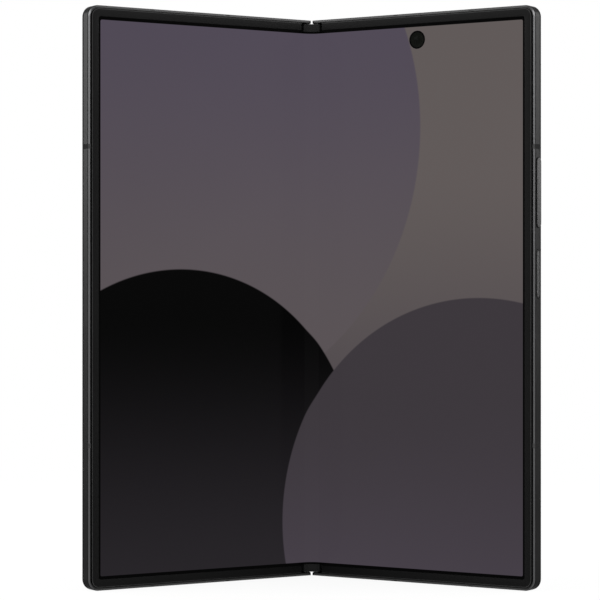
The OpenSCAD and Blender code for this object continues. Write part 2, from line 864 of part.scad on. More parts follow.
// Cam block that the springs press along both gear shafts
module hinge_sliding_cams() {
    color(steel) on_spine() both_ends() translate([0, gear_depth, 0]) {
        run(slider_at + lobe_h, spring_at) difference() {
            union() {
                span(-gear_x, -cam_r * 0.7, gear_x, cam_r * 0.7);
                for (x = [-gear_x, gear_x]) translate([x, 0]) circle(cam_r);
            }
            for (x = [-gear_x, gear_x]) translate([x, 0]) circle(shaft_r + run_gap);
        }
        for (x = [-gear_x, gear_x]) translate([x, 0, slider_at + 2 * lobe_h]) mirror([0, 0, 1])
            translate([0, 0, lobe_h - 0.01]) lobes();
    }
}

// One ring of points around the spring wire at turn angle a and height z
function wire_ring(a, z) = [for (b = [0 : 72 : 288])
    [(coil_r + wire_r * cos(b)) * cos(a), (coil_r + wire_r * cos(b)) * sin(a), z + wire_r * sin(b)]];

module coil_spring() {
    steps = spring_turns * 10;
    rise = (spring_l - 2 * wire_r) / steps;
    rings = [for (i = [0 : steps]) wire_ring(i * 36, wire_r + i * rise)];
    sides = [for (i = [0 : steps - 1], k = [0 : 4]) let(a = i * 5, b = a + 5, n = (k + 1) % 5)
        each [[a + k, b + k, b + n], [a + k, b + n, a + n]]];
    polyhedron(points = [for (ring = rings) each ring],
        faces = concat(sides, [[0, 1, 2, 3, 4]], [[for (k = [4 : -1 : 0]) steps * 5 + k]]), convexity = 10);
}

module hinge_springs() {
    color(steel) on_spine() both_ends() for (x = [-gear_x, gear_x]) translate([x, gear_depth, spring_at])
        coil_spring();
}

// Arc rail and the plate that joins it to the frame
module hinge_rail() {
    translate([0, 0, body_h / 2]) for (up = [0, 1]) mirror([0, 0, up]) {
        translate([axis_x, axis_depth, rail_at + run_gap]) rotate([0, 0, 2]) rotate_extrude(angle = rail_sweep)
            translate([rail_in, 0]) square([rail_out - rail_in, rail_l]);
        difference() {
            union() {
                run(unit_start, wall_1 + 0.8) span(axis_x + rail_in, rail_d, hinge_reach, rail_d + rail_t);
                run(unit_start, cam_at) span(arm_reach + 0.6, rail_d, hinge_reach, rail_d + rail_t);
            }
            for (z = screw_at) translate([screw_u, 0, z]) rotate([-90, 0, 0]) cylinder(r = screw_hole, h = body_t);
        }
    }
}

module rail_screws() {
    both_ends() for (z = screw_at) translate([screw_u, rail_d, z]) small_screw(0.18, rail_t + 1);
}

module right_hinge_rails() {
    color(steel) right_half() hinge_rail();
}

module left_hinge_rails() {
    color(steel) left_half() hinge_rail();
}

module right_rail_screws() {
    color(steel) right_half() rail_screws();
}

module left_rail_screws() {
    color(steel) left_half() rail_screws();
}

// Flat cables that join the boards of the two halves through the spine
module hinge_flex_cables() {
    front = [[-1.1, 1.5], [0, 1.75], [1.1, 1.5]];
    near = concat([swung_left(bay_in - 1, flex_d)], [swung_left(wing_start, flex_d)], front,
        [swung(wing_start, flex_d)], [swung(bay_in - 1, flex_d)]);
    far = concat([swung_left(bay_in - 1, flex_d + flex_t)], [swung_left(wing_start, flex_d + flex_t)],
        [for (p = front) p + [0, flex_t]],
        [swung(wing_start, flex_d + flex_t)], [swung(bay_in - 1, flex_d + flex_t)]);
    color(copper) on_spine() for (z = [-1, 1]) translate([0, 0, body_h / 2 + z * flex_w / 4])
        run(-flex_w / 4 + 0.5, flex_w / 4 - 0.5) polygon(concat(near, backwards(far)));
}

// ---- Antenna breaks and back panels ----

module right_antenna_breaks() {
    color(rubber_dark) right_half() antenna_breaks();
}

module left_antenna_breaks() {
    color(rubber_dark) left_half() antenna_breaks();
}

module rear_glass() {
    color(glass_dark) right_half() slab(glass_d, body_t) difference() {
        glass_outline(0);
        translate([island_u, island_at]) pill(island_w + 2 * glass_gap, island_l + 2 * glass_gap);
        translate([flash_u, flash_at]) circle(flash_r + glass_gap);
    }
}

module cover_glass() {
    color(glass_dark) left_half() slab(glass_d, body_t) difference() {
        glass_outline(0);
        translate([earpiece_u, body_h - glass_rim - 1]) round_rect(9, 0.5, 0.24);
    }
}

module cover_display_panel() {
    color(screen_tone) left_half() slab(panel_back_d, glass_d) difference() {
        outer_round(bay_in, end_wall + 0.8, bay_u - 0.4, bay_top - 0.8, bay_r - 0.4);
        translate([cover_cam_u, cover_cam_at]) circle(cover_cam_r + 0.15);
        translate([earpiece_u, bay_top]) square([11, 4], center = true);
    }
}

// ---- Cameras ----

module camera_island() {
    color(metal_dark) right_half() slab(module_back, island_back) difference() {
        translate([island_u, island_at]) pill(island_w, island_l);
        for (z = lens_at) translate([island_u, z]) circle(module_r + 0.05);
    }
}

module lens_rings() {
    color(steel) right_half() slab(island_back, island_back + ring_proud) for (z = lens_at)
        translate([island_u, z]) difference() {
            circle(ring_r);
            circle(ring_r - ring_w);
        }
}

module lens_windows() {
    color(glass_dark) right_half() slab(window_d, window_d + window_t) for (z = lens_at)
        translate([island_u, z]) circle(ring_r - ring_w - 0.02);
}

module rear_camera_modules() {
    base = 2 * module_r + 2;
    color(cell_grey) right_half() for (z = lens_at) translate([island_u, 0, z]) {
        slab(mid_back, module_back) square(base, center = true);
        slab(module_back - 0.01, window_d) difference() {
            circle(module_r);
            circle(module_r - 2.2);
        }
        slab(module_back - 0.01, window_d - 0.9) circle(module_r - 2);
    }
}

module flash_led() {
    color("lightyellow") right_half() translate([flash_u, 0, flash_at]) slab(board_d, body_t) circle(flash_r);
}

module inner_camera() {
    color(cell_grey) right_half() translate([inner_cam_u, 0, inner_cam_at]) {
        slab(screen_d + 0.2, board_d + 0.01) circle(inner_cam_r - 0.25);
        slab(board_d, board_d + 1) square(2 * inner_cam_r + 1.6, center = true);
    }
}

module cover_camera() {
    color(cell_grey) left_half() translate([cover_cam_u, 0, cover_cam_at]) {
        slab(mid_back, glass_d) circle(cover_cam_r);
        slab(mid_back, mid_back + 1.2) square(2 * cover_cam_r + 1, center = true);
    }
}

// ---- Inner parts of the camera half ----

module right_battery() {
    color(cell_grey) right_half() slab(mid_back, battery_d)
        outer_round(bay_in, battery_at, battery_u, right_battery_top, 1.5);
}

module charging_coil() {
    color(copper) right_half() slab(battery_d, battery_d + coil_t)
        translate([(bay_in + battery_u) / 2, (battery_at + right_battery_top) / 2]) difference() {
            circle(coil_out);
            circle(coil_in);
        }
}

module main_board() {
    color(board_green) right_half() slab(mid_back, board_d) difference() {
        span(bay_in, board_at, board_u, board_top);
        translate([inner_cam_u, inner_cam_at]) circle(inner_cam_r);
        for (u = [bay_in + 1.5, board_u - 2], z = [board_at + 2, board_top - 2]) translate([u, z]) circle(0.7);
    }
}

// Cans over the chips: each is a lid with its own walls
module shield(u0, z0, u1, z1) {
    wall = 0.2;
    difference() {
        slab(board_d, board_d + shield_h) span(u0, z0, u1, z1);
        slab(board_d - over, board_d + shield_h - wall) span(u0 + wall, z0 + wall, u1 - wall, z1 - wall);
    }
}

module board_shields() {
    left = bay_in + 1;
    right = flash_u - flash_r - 2;
    low = board_at + 4;
    high = inner_cam_at - inner_cam_r - 2;
    middle = (low + high) / 2;
    color(steel) right_half() {
        shield(left, low, right, middle - 1);
        shield(left, middle, (left + right) / 2 - 1, high);
        shield((left + right) / 2, middle, right, high);
    }
}

module usb_port() {
    color(steel) right_half() {
        run(0.15, usb_l) difference() {
            usb_outline(usb_wall);
            usb_outline(0);
        }
        run(usb_l - 0.3, usb_l) usb_outline(usb_wall);
        run(1.2, usb_l) translate([usb_u, usb_d]) square([usb_w - 1.7, 0.7], center = true);
    }
}

module loudspeaker() {
    color(cell_grey) right_half() slab(mid_back, battery_d) difference() {
        span(speaker_u - 1.5, end_wall, bay_u - bay_r, speaker_top);
        span(speaker_u - 0.6, end_wall - over, speaker_u + speaker_l - 1, end_wall + 1.2);
    }
}

// Strip with a dome under each key's press points and a post under the volume key's rib
module key_switches() {
    strip_u = dome_u - dome_h;
    post_l = 0.8;
    color(board_green) right_half() {
        run(side_key_at - side_key_l / 2, volume_at + volume_l / 2) span(strip_u - 0.4, mid_back, strip_u, 3.4);
        for (z = [side_key_at, volume_at - volume_l * 0.35, volume_at + volume_l * 0.35])
            translate([strip_u, key_d, z]) rotate([0, 90, 0]) cylinder(r = dome_r, h = dome_h);
        across(strip_u, flange_u - rib_r - 0.02)
            span(key_d - rib_l / 2, volume_at - post_l / 2, key_d + rib_l / 2, volume_at + post_l / 2);
    }
}

module magnets() {
    length = (side_key_at - side_key_l / 2 - battery_at) / 2 - 6;
    for (z = [battery_at + 2, battery_at + 4 + length]) slab(mid_back, mid_back + 1.6)
        span(battery_u + 0.4, z, bay_u - 0.4, z + length);
}

module right_magnets() {
    color(steel) right_half() magnets();
}

module left_magnets() {
    color(steel) left_half() magnets();
}

// ---- Keys ----

module flange(at, length) {
    across(flange_u, flange_u + flange_t) translate([key_d, at]) pill(key_w - 0.3, length + 2 * flange_over);
}

// Rocking volume key with a round pivot rib behind its middle
module volume_key() {
    color(metal_dark) right_half() {
        across(flange_u + flange_t, half_w + volume_proud) volume_outline(0);
        flange(volume_at, volume_l);
        translate([flange_u, key_d - rib_l / 2, volume_at]) rotate([-90, 0, 0])
            cylinder(r = rib_r, h = rib_l);
    }
}

module side_key() {
    color(metal_dark) right_half() {
        difference() {
            across(flange_u + flange_t, half_w + side_key_proud) side_key_outline(0);
            across(half_w + side_key_proud - sensor_t, half_w + over) side_key_outline(-0.35);
        }
        flange(side_key_at, side_key_l);
    }
}

module fingerprint_sensor() {
    color(glass_dark) right_half()
        across(half_w + side_key_proud - sensor_t, half_w + side_key_proud - 0.03) side_key_outline(-0.35);
}

// ---- Inner parts of the cover display half ----

module left_battery() {
    color(cell_grey) left_half() slab(mid_back, panel_back_d)
        outer_round(bay_in, battery_at, battery_u, left_battery_top, 1.5);
}

module left_sub_board() {
    color(board_green) left_half() difference() {
        slab(mid_back, board_d) span(bay_in, left_battery_top + battery_gap, battery_u, sub_board_top);
        for (u = [bay_in + 2, battery_u - 2]) translate([u, 0, sub_board_top - 2]) rotate([-90, 0, 0])
            cylinder(r = 0.7, h = body_t);
    }
}

module earpiece() {
    color(cell_grey) left_half() slab(mid_back, panel_back_d)
        span(speaker_u - 1.5, bay_top - 3.6, speaker_u + speaker_l - 2, bay_top);
}

// Cage that guides the tray, open at the bottom
module sim_reader() {
    color(steel) left_half() difference() {
        slab(mid_back, panel_back_d) span(tray_u - tray_w / 2 - 0.4, end_wall, tray_u + tray_w / 2 + 0.4, tray_l + 2);
        run(end_wall - over, tray_l + 0.4) translate([tray_u, tray_d])
            square([tray_w - 2 * tray_in + 2 * tray_gap, tray_t + 2 * tray_gap], center = true);
        run(end_wall - over, end_wall + 0.6) tray_outline(tray_gap);
    }
}

module sim_tray() {
    body = tray_w - 2 * tray_in;
    near = tray_u - body / 2 + tray_rim;
    far = tray_u + body / 2 - tray_rim;
    color(metal_dark) left_half() {
        run(0.05, end_wall + 0.4) tray_outline(0);
        difference() {
            run(end_wall + 0.3, tray_l) translate([tray_u, tray_d]) square([body, tray_t], center = true);
            slab(tray_d - 0.2, tray_d + tray_t) span(near, card_at, far, card_at + card_l);
            slab(0, body_t) span(near + card_ledge, card_at + card_ledge,
                far - card_ledge, card_at + card_l - card_ledge);
        }
    }
}

module haptic_motor() {
    color(steel) left_half() slab(mid_back, panel_back_d)
        translate([bay_in + haptic_gap + haptic_w / 2, end_wall + haptic_gap + haptic_l / 2])
        round_rect(haptic_w, haptic_l, haptic_gap);
}

spine_cover();
spine_end_caps();
hinge_brackets();
hinge_sliding_cams();
hinge_springs();
hinge_screws();
fold_backing_plate();
display_fold_section();
hinge_flex_cables();
right_sync_arms();
left_sync_arms();
right_idler_gears();
left_idler_gears();
right_frame();
right_bezel();
display_right();
right_support_plate();
right_wing_plate();
right_hinge_rails();
right_rail_screws();
right_antenna_breaks();
rear_glass();
camera_island();
lens_rings();
lens_windows();
rear_camera_modules();
flash_led();
inner_camera();
right_battery();
main_board();
board_shields();
usb_port();
loudspeaker();
charging_coil();
key_switches();
right_magnets();
volume_key();
side_key();
fingerprint_sensor();
left_frame();
left_bezel();
display_left();
left_support_plate();
left_wing_plate();
left_hinge_rails();
left_rail_screws();
left_antenna_breaks();
cover_glass();
cover_display_panel();
cover_camera();
earpiece();
left_battery();
left_sub_board();
sim_reader();
haptic_motor();
left_magnets();
sim_tray();
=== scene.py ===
# %% [markdown]
# # A book-style folding phone, half open
#
# The hard parts of this phone, such as its frames, hinge gears and keys, come ready
# made from the CAD model. This lesson loads them as a fixed frame and adds what a solid
# modeller leaves out: the screen that bends over the fold, the soft rims beside it, the
# lenses, every finish, and the light. All lengths below are metres.

import json
import math

import bmesh
import bpy
import numpy as np
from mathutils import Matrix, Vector


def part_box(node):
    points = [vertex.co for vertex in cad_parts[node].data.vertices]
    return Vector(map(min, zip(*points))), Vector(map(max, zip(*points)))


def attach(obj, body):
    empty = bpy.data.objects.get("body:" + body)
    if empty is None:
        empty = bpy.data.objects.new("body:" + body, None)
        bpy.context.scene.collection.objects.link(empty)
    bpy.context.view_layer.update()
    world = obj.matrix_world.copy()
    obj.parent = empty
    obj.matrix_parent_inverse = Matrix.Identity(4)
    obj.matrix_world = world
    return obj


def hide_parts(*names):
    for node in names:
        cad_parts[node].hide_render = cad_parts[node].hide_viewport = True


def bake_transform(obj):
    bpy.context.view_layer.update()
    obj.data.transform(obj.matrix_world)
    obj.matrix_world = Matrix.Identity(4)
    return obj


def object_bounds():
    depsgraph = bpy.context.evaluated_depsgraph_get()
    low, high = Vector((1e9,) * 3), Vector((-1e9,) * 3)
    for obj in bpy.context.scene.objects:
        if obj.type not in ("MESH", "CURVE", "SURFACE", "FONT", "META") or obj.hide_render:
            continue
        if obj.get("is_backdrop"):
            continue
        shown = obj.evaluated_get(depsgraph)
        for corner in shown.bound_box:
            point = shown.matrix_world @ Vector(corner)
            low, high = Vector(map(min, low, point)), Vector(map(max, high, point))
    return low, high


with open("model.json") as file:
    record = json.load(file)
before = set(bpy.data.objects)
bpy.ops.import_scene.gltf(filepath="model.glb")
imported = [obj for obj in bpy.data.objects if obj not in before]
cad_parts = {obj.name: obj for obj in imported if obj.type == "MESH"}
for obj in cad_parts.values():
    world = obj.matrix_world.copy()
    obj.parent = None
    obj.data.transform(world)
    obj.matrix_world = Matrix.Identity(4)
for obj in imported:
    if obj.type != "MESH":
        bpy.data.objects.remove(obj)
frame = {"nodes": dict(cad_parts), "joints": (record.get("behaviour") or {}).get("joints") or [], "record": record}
cad_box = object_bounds()
mm = 0.001

# %% [markdown]
# ## Where a half's own section lies
#
# Each half of the phone is a flat slab, so its pieces are easiest to describe flat: u
# runs from the fold to the outer edge, d goes from the rim in front of the screen to the
# back, and w goes up. The hinge joint tells where the fold axis stands and how far the
# half has turned. One function then carries every flat point to its place, and the left
# half is the mirror image. Doing this once keeps the sums out of each piece.

# %% The two fold axes and the turn of each half
joints = {joint["name"]: joint for joint in frame["joints"]}
axis_x, axis_y, middle = joints["right_fold"]["pos_m"]
tilt = math.radians(-joints["right_fold"]["range_deg"][0])
axis_d = 1.14 * mm  # how far the axes lie behind the rim
RIGHT, LEFT = 1, -1
HALF_BODY = {RIGHT: "camera_half", LEFT: "cover_half"}
SIDE_WORD = {RIGHT: "right", LEFT: "left"}


def placed(side, u, d, w):
    """Turns (u, d) about the fold axis by the tilt, then moves the axis to its place:
    x = axis + (u - axis) cos + (d - axis) sin, y = axis - (u - axis) sin + (d - axis) cos."""
    u, d, w = np.broadcast_arrays(u, d, w)
    x = axis_x + (u - axis_x) * math.cos(tilt) + (d - axis_d) * math.sin(tilt)
    y = axis_y - (u - axis_x) * math.sin(tilt) + (d - axis_d) * math.cos(tilt)
    return np.stack([side * x, y, w], axis=-1)


print(f"each half is turned {math.degrees(tilt):.1f} degrees from flat")

# %% [markdown]
# ## Grids of points become closed pieces
#
# A sheet, a ring or a lip can all be written as points on a grid, where one parameter
# runs along the rows and one along the columns. Blender could also loft curves or edit
# boxes by hand, but a grid is one formula and gives clean quads. A closed piece is
# several such grids that share their borders, so the borders are welded and the faces
# are all turned outwards afterwards.

# %% A helper that welds grids into one piece
def grid_faces(rows, columns, first):
    """Quads between neighbouring points: (i, j), (i, j+1), (i+1, j+1), (i+1, j)."""
    start = first + np.arange(rows - 1)[:, None] * columns + np.arange(columns - 1)[None, :]
    corners = [start, start + 1, start + columns + 1, start + columns]
    return np.stack(corners, axis=-1).reshape(-1, 4)


WELD_REACH = 0.002 * mm
TINY_EDGE = 1e-7
SHARP_ANGLE = math.radians(30)


def welded_piece(name, grids, body, slot, maps=None, replaces=()):
    """Joins grids of shape (rows, columns, 3) into one mesh; maps holds a UV grid for each.
    Points within the weld's reach become one, and edges that turn by more than the sharp
    angle stay crisp."""
    points = np.concatenate([grid.reshape(-1, 3) for grid in grids])
    first = np.cumsum([0] + [grid.shape[0] * grid.shape[1] for grid in grids])
    faces = np.concatenate([grid_faces(*grid.shape[:2], at) for grid, at in zip(grids, first)])
    mesh = bpy.data.meshes.new(name)
    mesh.from_pydata(points, [], faces.tolist())
    if maps is not None:
        uv = np.concatenate([np.asarray(one).reshape(-1, 2) for one in maps])
        layer = mesh.uv_layers.new(name="surface")
        layer.data.foreach_set("uv", uv[faces.ravel()].astype(np.float32).ravel())
    welded = bmesh.new()
    welded.from_mesh(mesh)
    bmesh.ops.remove_doubles(welded, verts=welded.verts, dist=WELD_REACH)
    bmesh.ops.dissolve_degenerate(welded, edges=welded.edges, dist=TINY_EDGE)
    bmesh.ops.recalc_face_normals(welded, faces=welded.faces)
    open_edges = sum(1 for edge in welded.edges if len(edge.link_faces) != 2)
    welded.to_mesh(mesh)
    welded.free()
    mesh.shade_smooth()
    mesh.set_sharp_from_angle(angle=SHARP_ANGLE)
    piece = bpy.data.objects.new(name, mesh)
    bpy.context.scene.collection.objects.link(piece)
    if isinstance(body, str):
        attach(piece, body)
    else:
        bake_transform(piece)
    if replaces:
        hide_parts(*replaces)
    made[slot].append(piece)
    print(f"{name}: {len(mesh.polygons)} faces, {open_edges} open edges")


made = {slot["slot"]: [] for slot in frame["record"]["materials"]}
print(len(made), "material slots wait for their pieces")

# %% [markdown]
# ## The bending screen
#
# The screen is a stack of films two thirds of a millimetre thick. It lies flat on each
# half and rolls over the fold on a small radius. It could be bent with a deform
# modifier, but its path is simple enough to write down: an arc from the middle to where
# the flat begins, then a straight line, both measured by the length s along the
# surface. Because s also feeds the UV map, a picture runs over the fold unstretched.

# %% Sizes of the screen: its face, its bend, and the camera's round hole in its square
body_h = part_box("right_frame")[1].z
front_d = 0.1 * mm
screen_t = 0.65 * mm
panel_u = 69.78 * mm
panel_top = 156.5 * mm
fold_r = 4.0 * mm
fold_u = 8.5 * mm
fold_top = 155.0 * mm
tab_u = 4.2 * mm
tab_step = 0.15 * mm
eye_u, eye_w = 35.1 * mm, body_h - 7.5 * mm
eye_r = 2.55 * mm
eye_window = 3.6 * mm

# Where the arc and the flat meet, both their place and their slope agree. That gives the
# centre of the arc, its length, and the u at which the flat begins.
past_axis = front_d - axis_d
bend_y = axis_y + axis_x * math.tan(tilt) + (past_axis - fold_r) / math.cos(tilt)
arc_s = fold_r * tilt
arc_u = axis_x + ((fold_r - past_axis) * math.sin(tilt) - axis_x) / math.cos(tilt)


def length_at(u):
    """Length along the screen's face from the fold: u plus what the arc is longer."""
    return u + arc_s - arc_u


panel_s, eye_s = length_at(panel_u), length_at(eye_u)


def along_screen(side, s, depth, w):
    """Point at length s from the fold and at a depth: on the bend it is
    (R sin a, centre + R cos a) with a = s / radius, and R grows with the depth; further
    out it lies on the flat, at the u that has this length."""
    s, depth, w = np.broadcast_arrays(s, depth, w)
    turn = np.clip(s, 0.0, arc_s) / fold_r
    reach = fold_r + depth - front_d
    bent = np.stack([side * reach * np.sin(turn), bend_y + reach * np.cos(turn), w], axis=-1)
    flat = placed(side, s - length_at(0.0), depth, w)
    return np.where((s < arc_s)[..., None], bent, flat)


print(f"the screen is {2 * panel_s / mm:.1f} mm wide and bends on {fold_r / mm:.0f} mm")

# %% Flat stretches of the screen, with a square left open for the camera
def screen_height(s):
    """Half the screen's height at s: a little less over the fold than on the flats."""
    low = fold_top - body_h / 2
    high = panel_top - body_h / 2
    return low + (high - low) * np.clip((s - length_at(tab_u)) / tab_step, 0.0, 1.0)


def stretched(s, w):
    """w scaled about the middle, so that the panel's top edge becomes the screen's edge at s."""
    return body_h / 2 + (w - body_h / 2) * screen_height(s) / (panel_top - body_h / 2)


def screen_map(side, s, w):
    """U runs once across both halves and V once up the phone."""
    return np.stack(np.broadcast_arrays(0.5 + side * s / (2 * panel_s), w / body_h), axis=-1)


def screen_patch(side, s, w, depth):
    """A grid of the screen's surface and its map, over every s and every w."""
    s, w = np.meshgrid(s, w)
    height = stretched(s, w)
    return along_screen(side, s, depth, height), screen_map(side, s, height)


EYE_CELLS = 8
on_arc = np.linspace(0, arc_s, 17)
to_tab = np.linspace(arc_s, length_at(tab_u), 4)
past_tab = length_at(np.array([tab_u + tab_step, fold_u - 2 * mm, fold_u - 1 * mm, fold_u]))
left_of_eye = np.linspace(past_tab[-1], eye_s - eye_window, 6)
over_eye = np.linspace(eye_s - eye_window, eye_s + eye_window, EYE_CELLS + 1)
right_of_eye = np.linspace(eye_s + eye_window, panel_s, 8)
columns = np.concatenate([on_arc, to_tab[1:], past_tab, left_of_eye[1:], over_eye[1:],
                          right_of_eye[1:]])
low_rows = np.linspace(body_h - panel_top, eye_w - eye_window, 40)
eye_rows = np.linspace(eye_w - eye_window, eye_w + eye_window, EYE_CELLS + 1)
rows = np.concatenate([low_rows, eye_rows[1:], [panel_top]])
print(f"{len(columns)} columns and {len(rows)} rows a half")

# %% The ring between the camera's round hole and its square
def square_edge(count):
    """Points round a square of half side 1, starting at a corner, evenly along each side."""
    side = np.linspace(-1, 1, count + 1)[:-1]
    one = np.ones(count)
    return np.stack([np.concatenate([side, one, -side, -one, side[:1]]),
                     np.concatenate([-one, side, one, -side, -one[:1]])], axis=-1)


eye_square = square_edge(EYE_CELLS) * eye_window
eye_circle = eye_square * (eye_r / np.linalg.norm(eye_square, axis=-1, keepdims=True))


def eye_ring(side, depth):
    """Straight lines from the circle to the square: point = (1 - t) circle + t square."""
    share = np.linspace(0, 1, 4)[:, None, None]
    flat = (1 - share) * eye_circle + share * eye_square
    s, w = eye_s + flat[..., 0], eye_w + flat[..., 1]
    return along_screen(side, s, depth, w), screen_map(side, s, w)


def cut_edge(side, s, w):
    """The cut edge of the screen: a border line of the surface, carried from front to back."""
    depth = np.array([front_d, front_d + screen_t])[:, None]
    s, w = np.broadcast_arrays(np.asarray(s, float), np.asarray(w, float))
    return along_screen(side, s, depth, w), screen_map(side, np.stack([s, s]), np.stack([w, w]))


print("the ring has", len(eye_square) - 1, "sides")

# %% Both halves of the screen
def folding_screen(side):
    """Front and back surfaces, their four edges and, on the right, the camera's hole."""
    first = np.argmin(abs(columns - over_eye[0]))
    beside_eye = [(columns[:first + 1], rows), (columns[first + EYE_CELLS:], rows),
                  (over_eye, low_rows), (over_eye, rows[-2:])]
    parts = []
    for depth in (front_d, front_d + screen_t):
        patches = beside_eye if side == RIGHT else [(columns, rows)]
        parts += [screen_patch(side, s, w, depth) for s, w in patches]
        if side == RIGHT:
            parts += [eye_ring(side, depth)]
    reach = screen_height(columns)
    parts += [cut_edge(side, columns, body_h / 2 + end * reach) for end in (-1, 1)]
    parts += [cut_edge(side, np.full_like(rows, s), stretched(s, rows)) for s in (0.0, panel_s)]
    if side == RIGHT:
        parts += [cut_edge(side, eye_s + eye_circle[:, 0], eye_w + eye_circle[:, 1])]
    return [grid for grid, _ in parts], [uv for _, uv in parts]


bend_end = 3.5 * mm


def bends_with(side, far_u):
    """The hinge's body and the half's body, with a point in the middle and one at far_u on the half's face."""
    start = (0.0, axis_y, body_h / 2)
    end = placed(side, far_u, front_d, body_h / 2)
    return "hinge_spine", HALF_BODY[side], start, tuple(float(v) for v in end)


for side in (RIGHT, LEFT):
    grids, maps = folding_screen(side)
    replaced = ["display_" + SIDE_WORD[side]] + (["display_fold_section"] if side == RIGHT else [])
    welded_piece("folding_screen_" + SIDE_WORD[side], grids, bends_with(side, bend_end),
                 "folding_screen", maps, replaced)

# %% [markdown]
# ## What bends behind the screen
#
# A thin steel sheet backs the screen across the fold, and two flat cables carry power
# and signals from one half to the other. Both bend with the hinge, so each is made as a
# thin strip on either side of the middle, as the screen is. The CAD solids stay behind,
# hidden.

# %% Backing sheet and flat cables
def strip(side, route, low, high):
    """A strip of even thickness: route holds (x, y) along the strip, and the second face
    is the same route moved by the thickness towards the back."""
    back = route + [0.0, strip_t]
    loop = np.concatenate([route, back[::-1], route[:1]])
    tall = np.linspace(low, high, 12)[:, None]
    body = np.stack(np.broadcast_arrays(side * loop[:, 0], loop[:, 1], tall), axis=-1)
    across = np.stack([route, back])
    ends = [np.stack(np.broadcast_arrays(side * across[..., 0], across[..., 1], w), axis=-1)
            for w in (low, high)]
    return [body] + ends


strip_t = 0.1 * mm
plate_d = front_d + screen_t
backing_d = plate_d + 0.02 * mm
backing_end = body_h - fold_top + 0.15 * mm
cable_end = 6.0 * mm
cable_d = 1.27 * mm
cable_width = 11.0 * mm
cable_offset = cable_width / 2 + 0.5 * mm
trough_y = axis_y - axis_d
dip = np.array([[0.0, trough_y + 1.75 * mm], [1.1 * mm, trough_y + 1.5 * mm]])
flat_u = np.linspace(2.4 * mm, 11.4 * mm, 5)
for side in (RIGHT, LEFT):
    s = np.concatenate([np.linspace(0, arc_s, 9), [length_at(fold_u)]])
    route = along_screen(RIGHT, s, backing_d, 0.0)[:, :2]
    welded_piece("fold_backing_" + SIDE_WORD[side],
                 strip(side, route, backing_end, body_h - backing_end),
                 bends_with(side, bend_end), "support_metal",
                 replaces=["fold_backing_plate"] if side == RIGHT else ())
    route = np.concatenate([dip, placed(RIGHT, flat_u, cable_d, 0.0)[:, :2]])
    for name, at in (("low", body_h / 2 - cable_offset), ("high", body_h / 2 + cable_offset)):
        welded_piece(f"flex_cable_{name}_{SIDE_WORD[side]}",
                     strip(side, route, at - cable_width / 2, at + cable_width / 2),
                     bends_with(side, cable_end), "copper_trace",
                     replaces=["hinge_flex_cables"] if side == RIGHT and name == "low" else ())

# %% [markdown]
# ## The soft rims
#
# A moulded rim covers the edge of the screen on three sides of each half and keeps the
# halves from touching when closed. It could be a bevelled outline, but its inner and
# outer corners have different radii. So it is ruled between two outlines with the same
# number of points, and a rounded profile gives the height at each share of its width.

# %% Two outlines and a rounded lip
rim_u = 70.80 * mm
rim_end = 0.88 * mm
rim_w = 2.12 * mm
rim_end_w = 2.2 * mm
rim_start = 4.0 * mm
rim_proud = 0.15 * mm
outer_corner, inner_corner = 2.2 * mm, 0.6 * mm
lip_r = 0.13 * mm
lap_gap = 0.03 * mm
ledge = 0.02 * mm


def rim_outline(side_inset, end_inset, corner):
    """Bottom edge outwards, a quarter circle, the outer side, a quarter circle, the top back.
    Two points close together at the end of the fold make the ledge there crisp."""
    turn = np.linspace(0, math.pi / 2, 17)
    far, low, high = rim_u - side_inset, rim_end + end_inset, body_h - rim_end - end_inset
    straight = np.array([rim_start, fold_u, fold_u + ledge])
    arc = corner * np.stack([np.sin(turn), np.cos(turn)], axis=-1)
    lower = [far - corner, low + corner] + arc * [1, -1]
    upper = [far - corner, high - corner] + arc[::-1]
    enter = np.stack([straight, np.full(3, low)], axis=-1)
    leave = np.stack([straight[::-1], np.full(3, high)], axis=-1)
    return np.concatenate([enter, lower, upper, leave])


def soft_rim(side):
    """Every profile point (share, depth) becomes a line along (1 - share) outer + share inner."""
    outer = rim_outline(0.0, 0.0, outer_corner)
    inner = rim_outline(rim_w, rim_end_w, inner_corner)
    turn = np.linspace(0, math.pi / 2, 5)
    shoulder = lip_r / rim_w * (1 - np.cos(turn))
    height = lip_r * (1 - np.sin(turn)) - rim_proud
    lap = (panel_u + lap_gap - rim_u + rim_w) / rim_w
    share = np.concatenate([[0.0], shoulder, 1 - shoulder[::-1], [1.0, 1 - lap, 1 - lap, 0.0]])
    deep = np.where(outer[:, 0] > fold_u + ledge / 2, plate_d, front_d)
    front = np.concatenate([height, height[::-1], [front_d, front_d]])
    depth = np.concatenate([[deep], front[:, None] + 0 * deep, [deep, deep]])
    flat = (1 - share[:, None, None]) * outer + share[:, None, None] * inner
    along = np.linspace(0, 1, len(outer))
    uv = np.stack(np.broadcast_arrays(along[None, :], share[:, None]), axis=-1)
    return placed(side, flat[..., 0], depth, flat[..., 1]), uv


def end_cap(line):
    """A fan from the middle of a closed line: a grid whose first row is that one point."""
    return np.stack([np.broadcast_to(line.mean(axis=0), line.shape), line])


for side in (RIGHT, LEFT):
    skin, uv = soft_rim(side)
    caps = [end_cap(skin[:, end]) for end in (0, -1)]
    cap_uv = [end_cap(uv[:, end]) for end in (0, -1)]
    welded_piece("soft_rim_" + SIDE_WORD[side], [skin] + caps, HALF_BODY[side],
                 "bezel_rubber", [uv] + cap_uv, [SIDE_WORD[side] + "_bezel"])

# %% [markdown]
# ## Eyes and lenses
#
# A camera behind glass is a turned part: a dark flange, a step down into the barrel and
# a domed front element. Anything turned is a profile spun round an axis, so one
# function serves the small eye in the screen and the windows and lenses at the back.
# The spin stays in the flat section of its half and is placed with it. U runs round the
# axis and V from the middle outwards, for rings of colour.

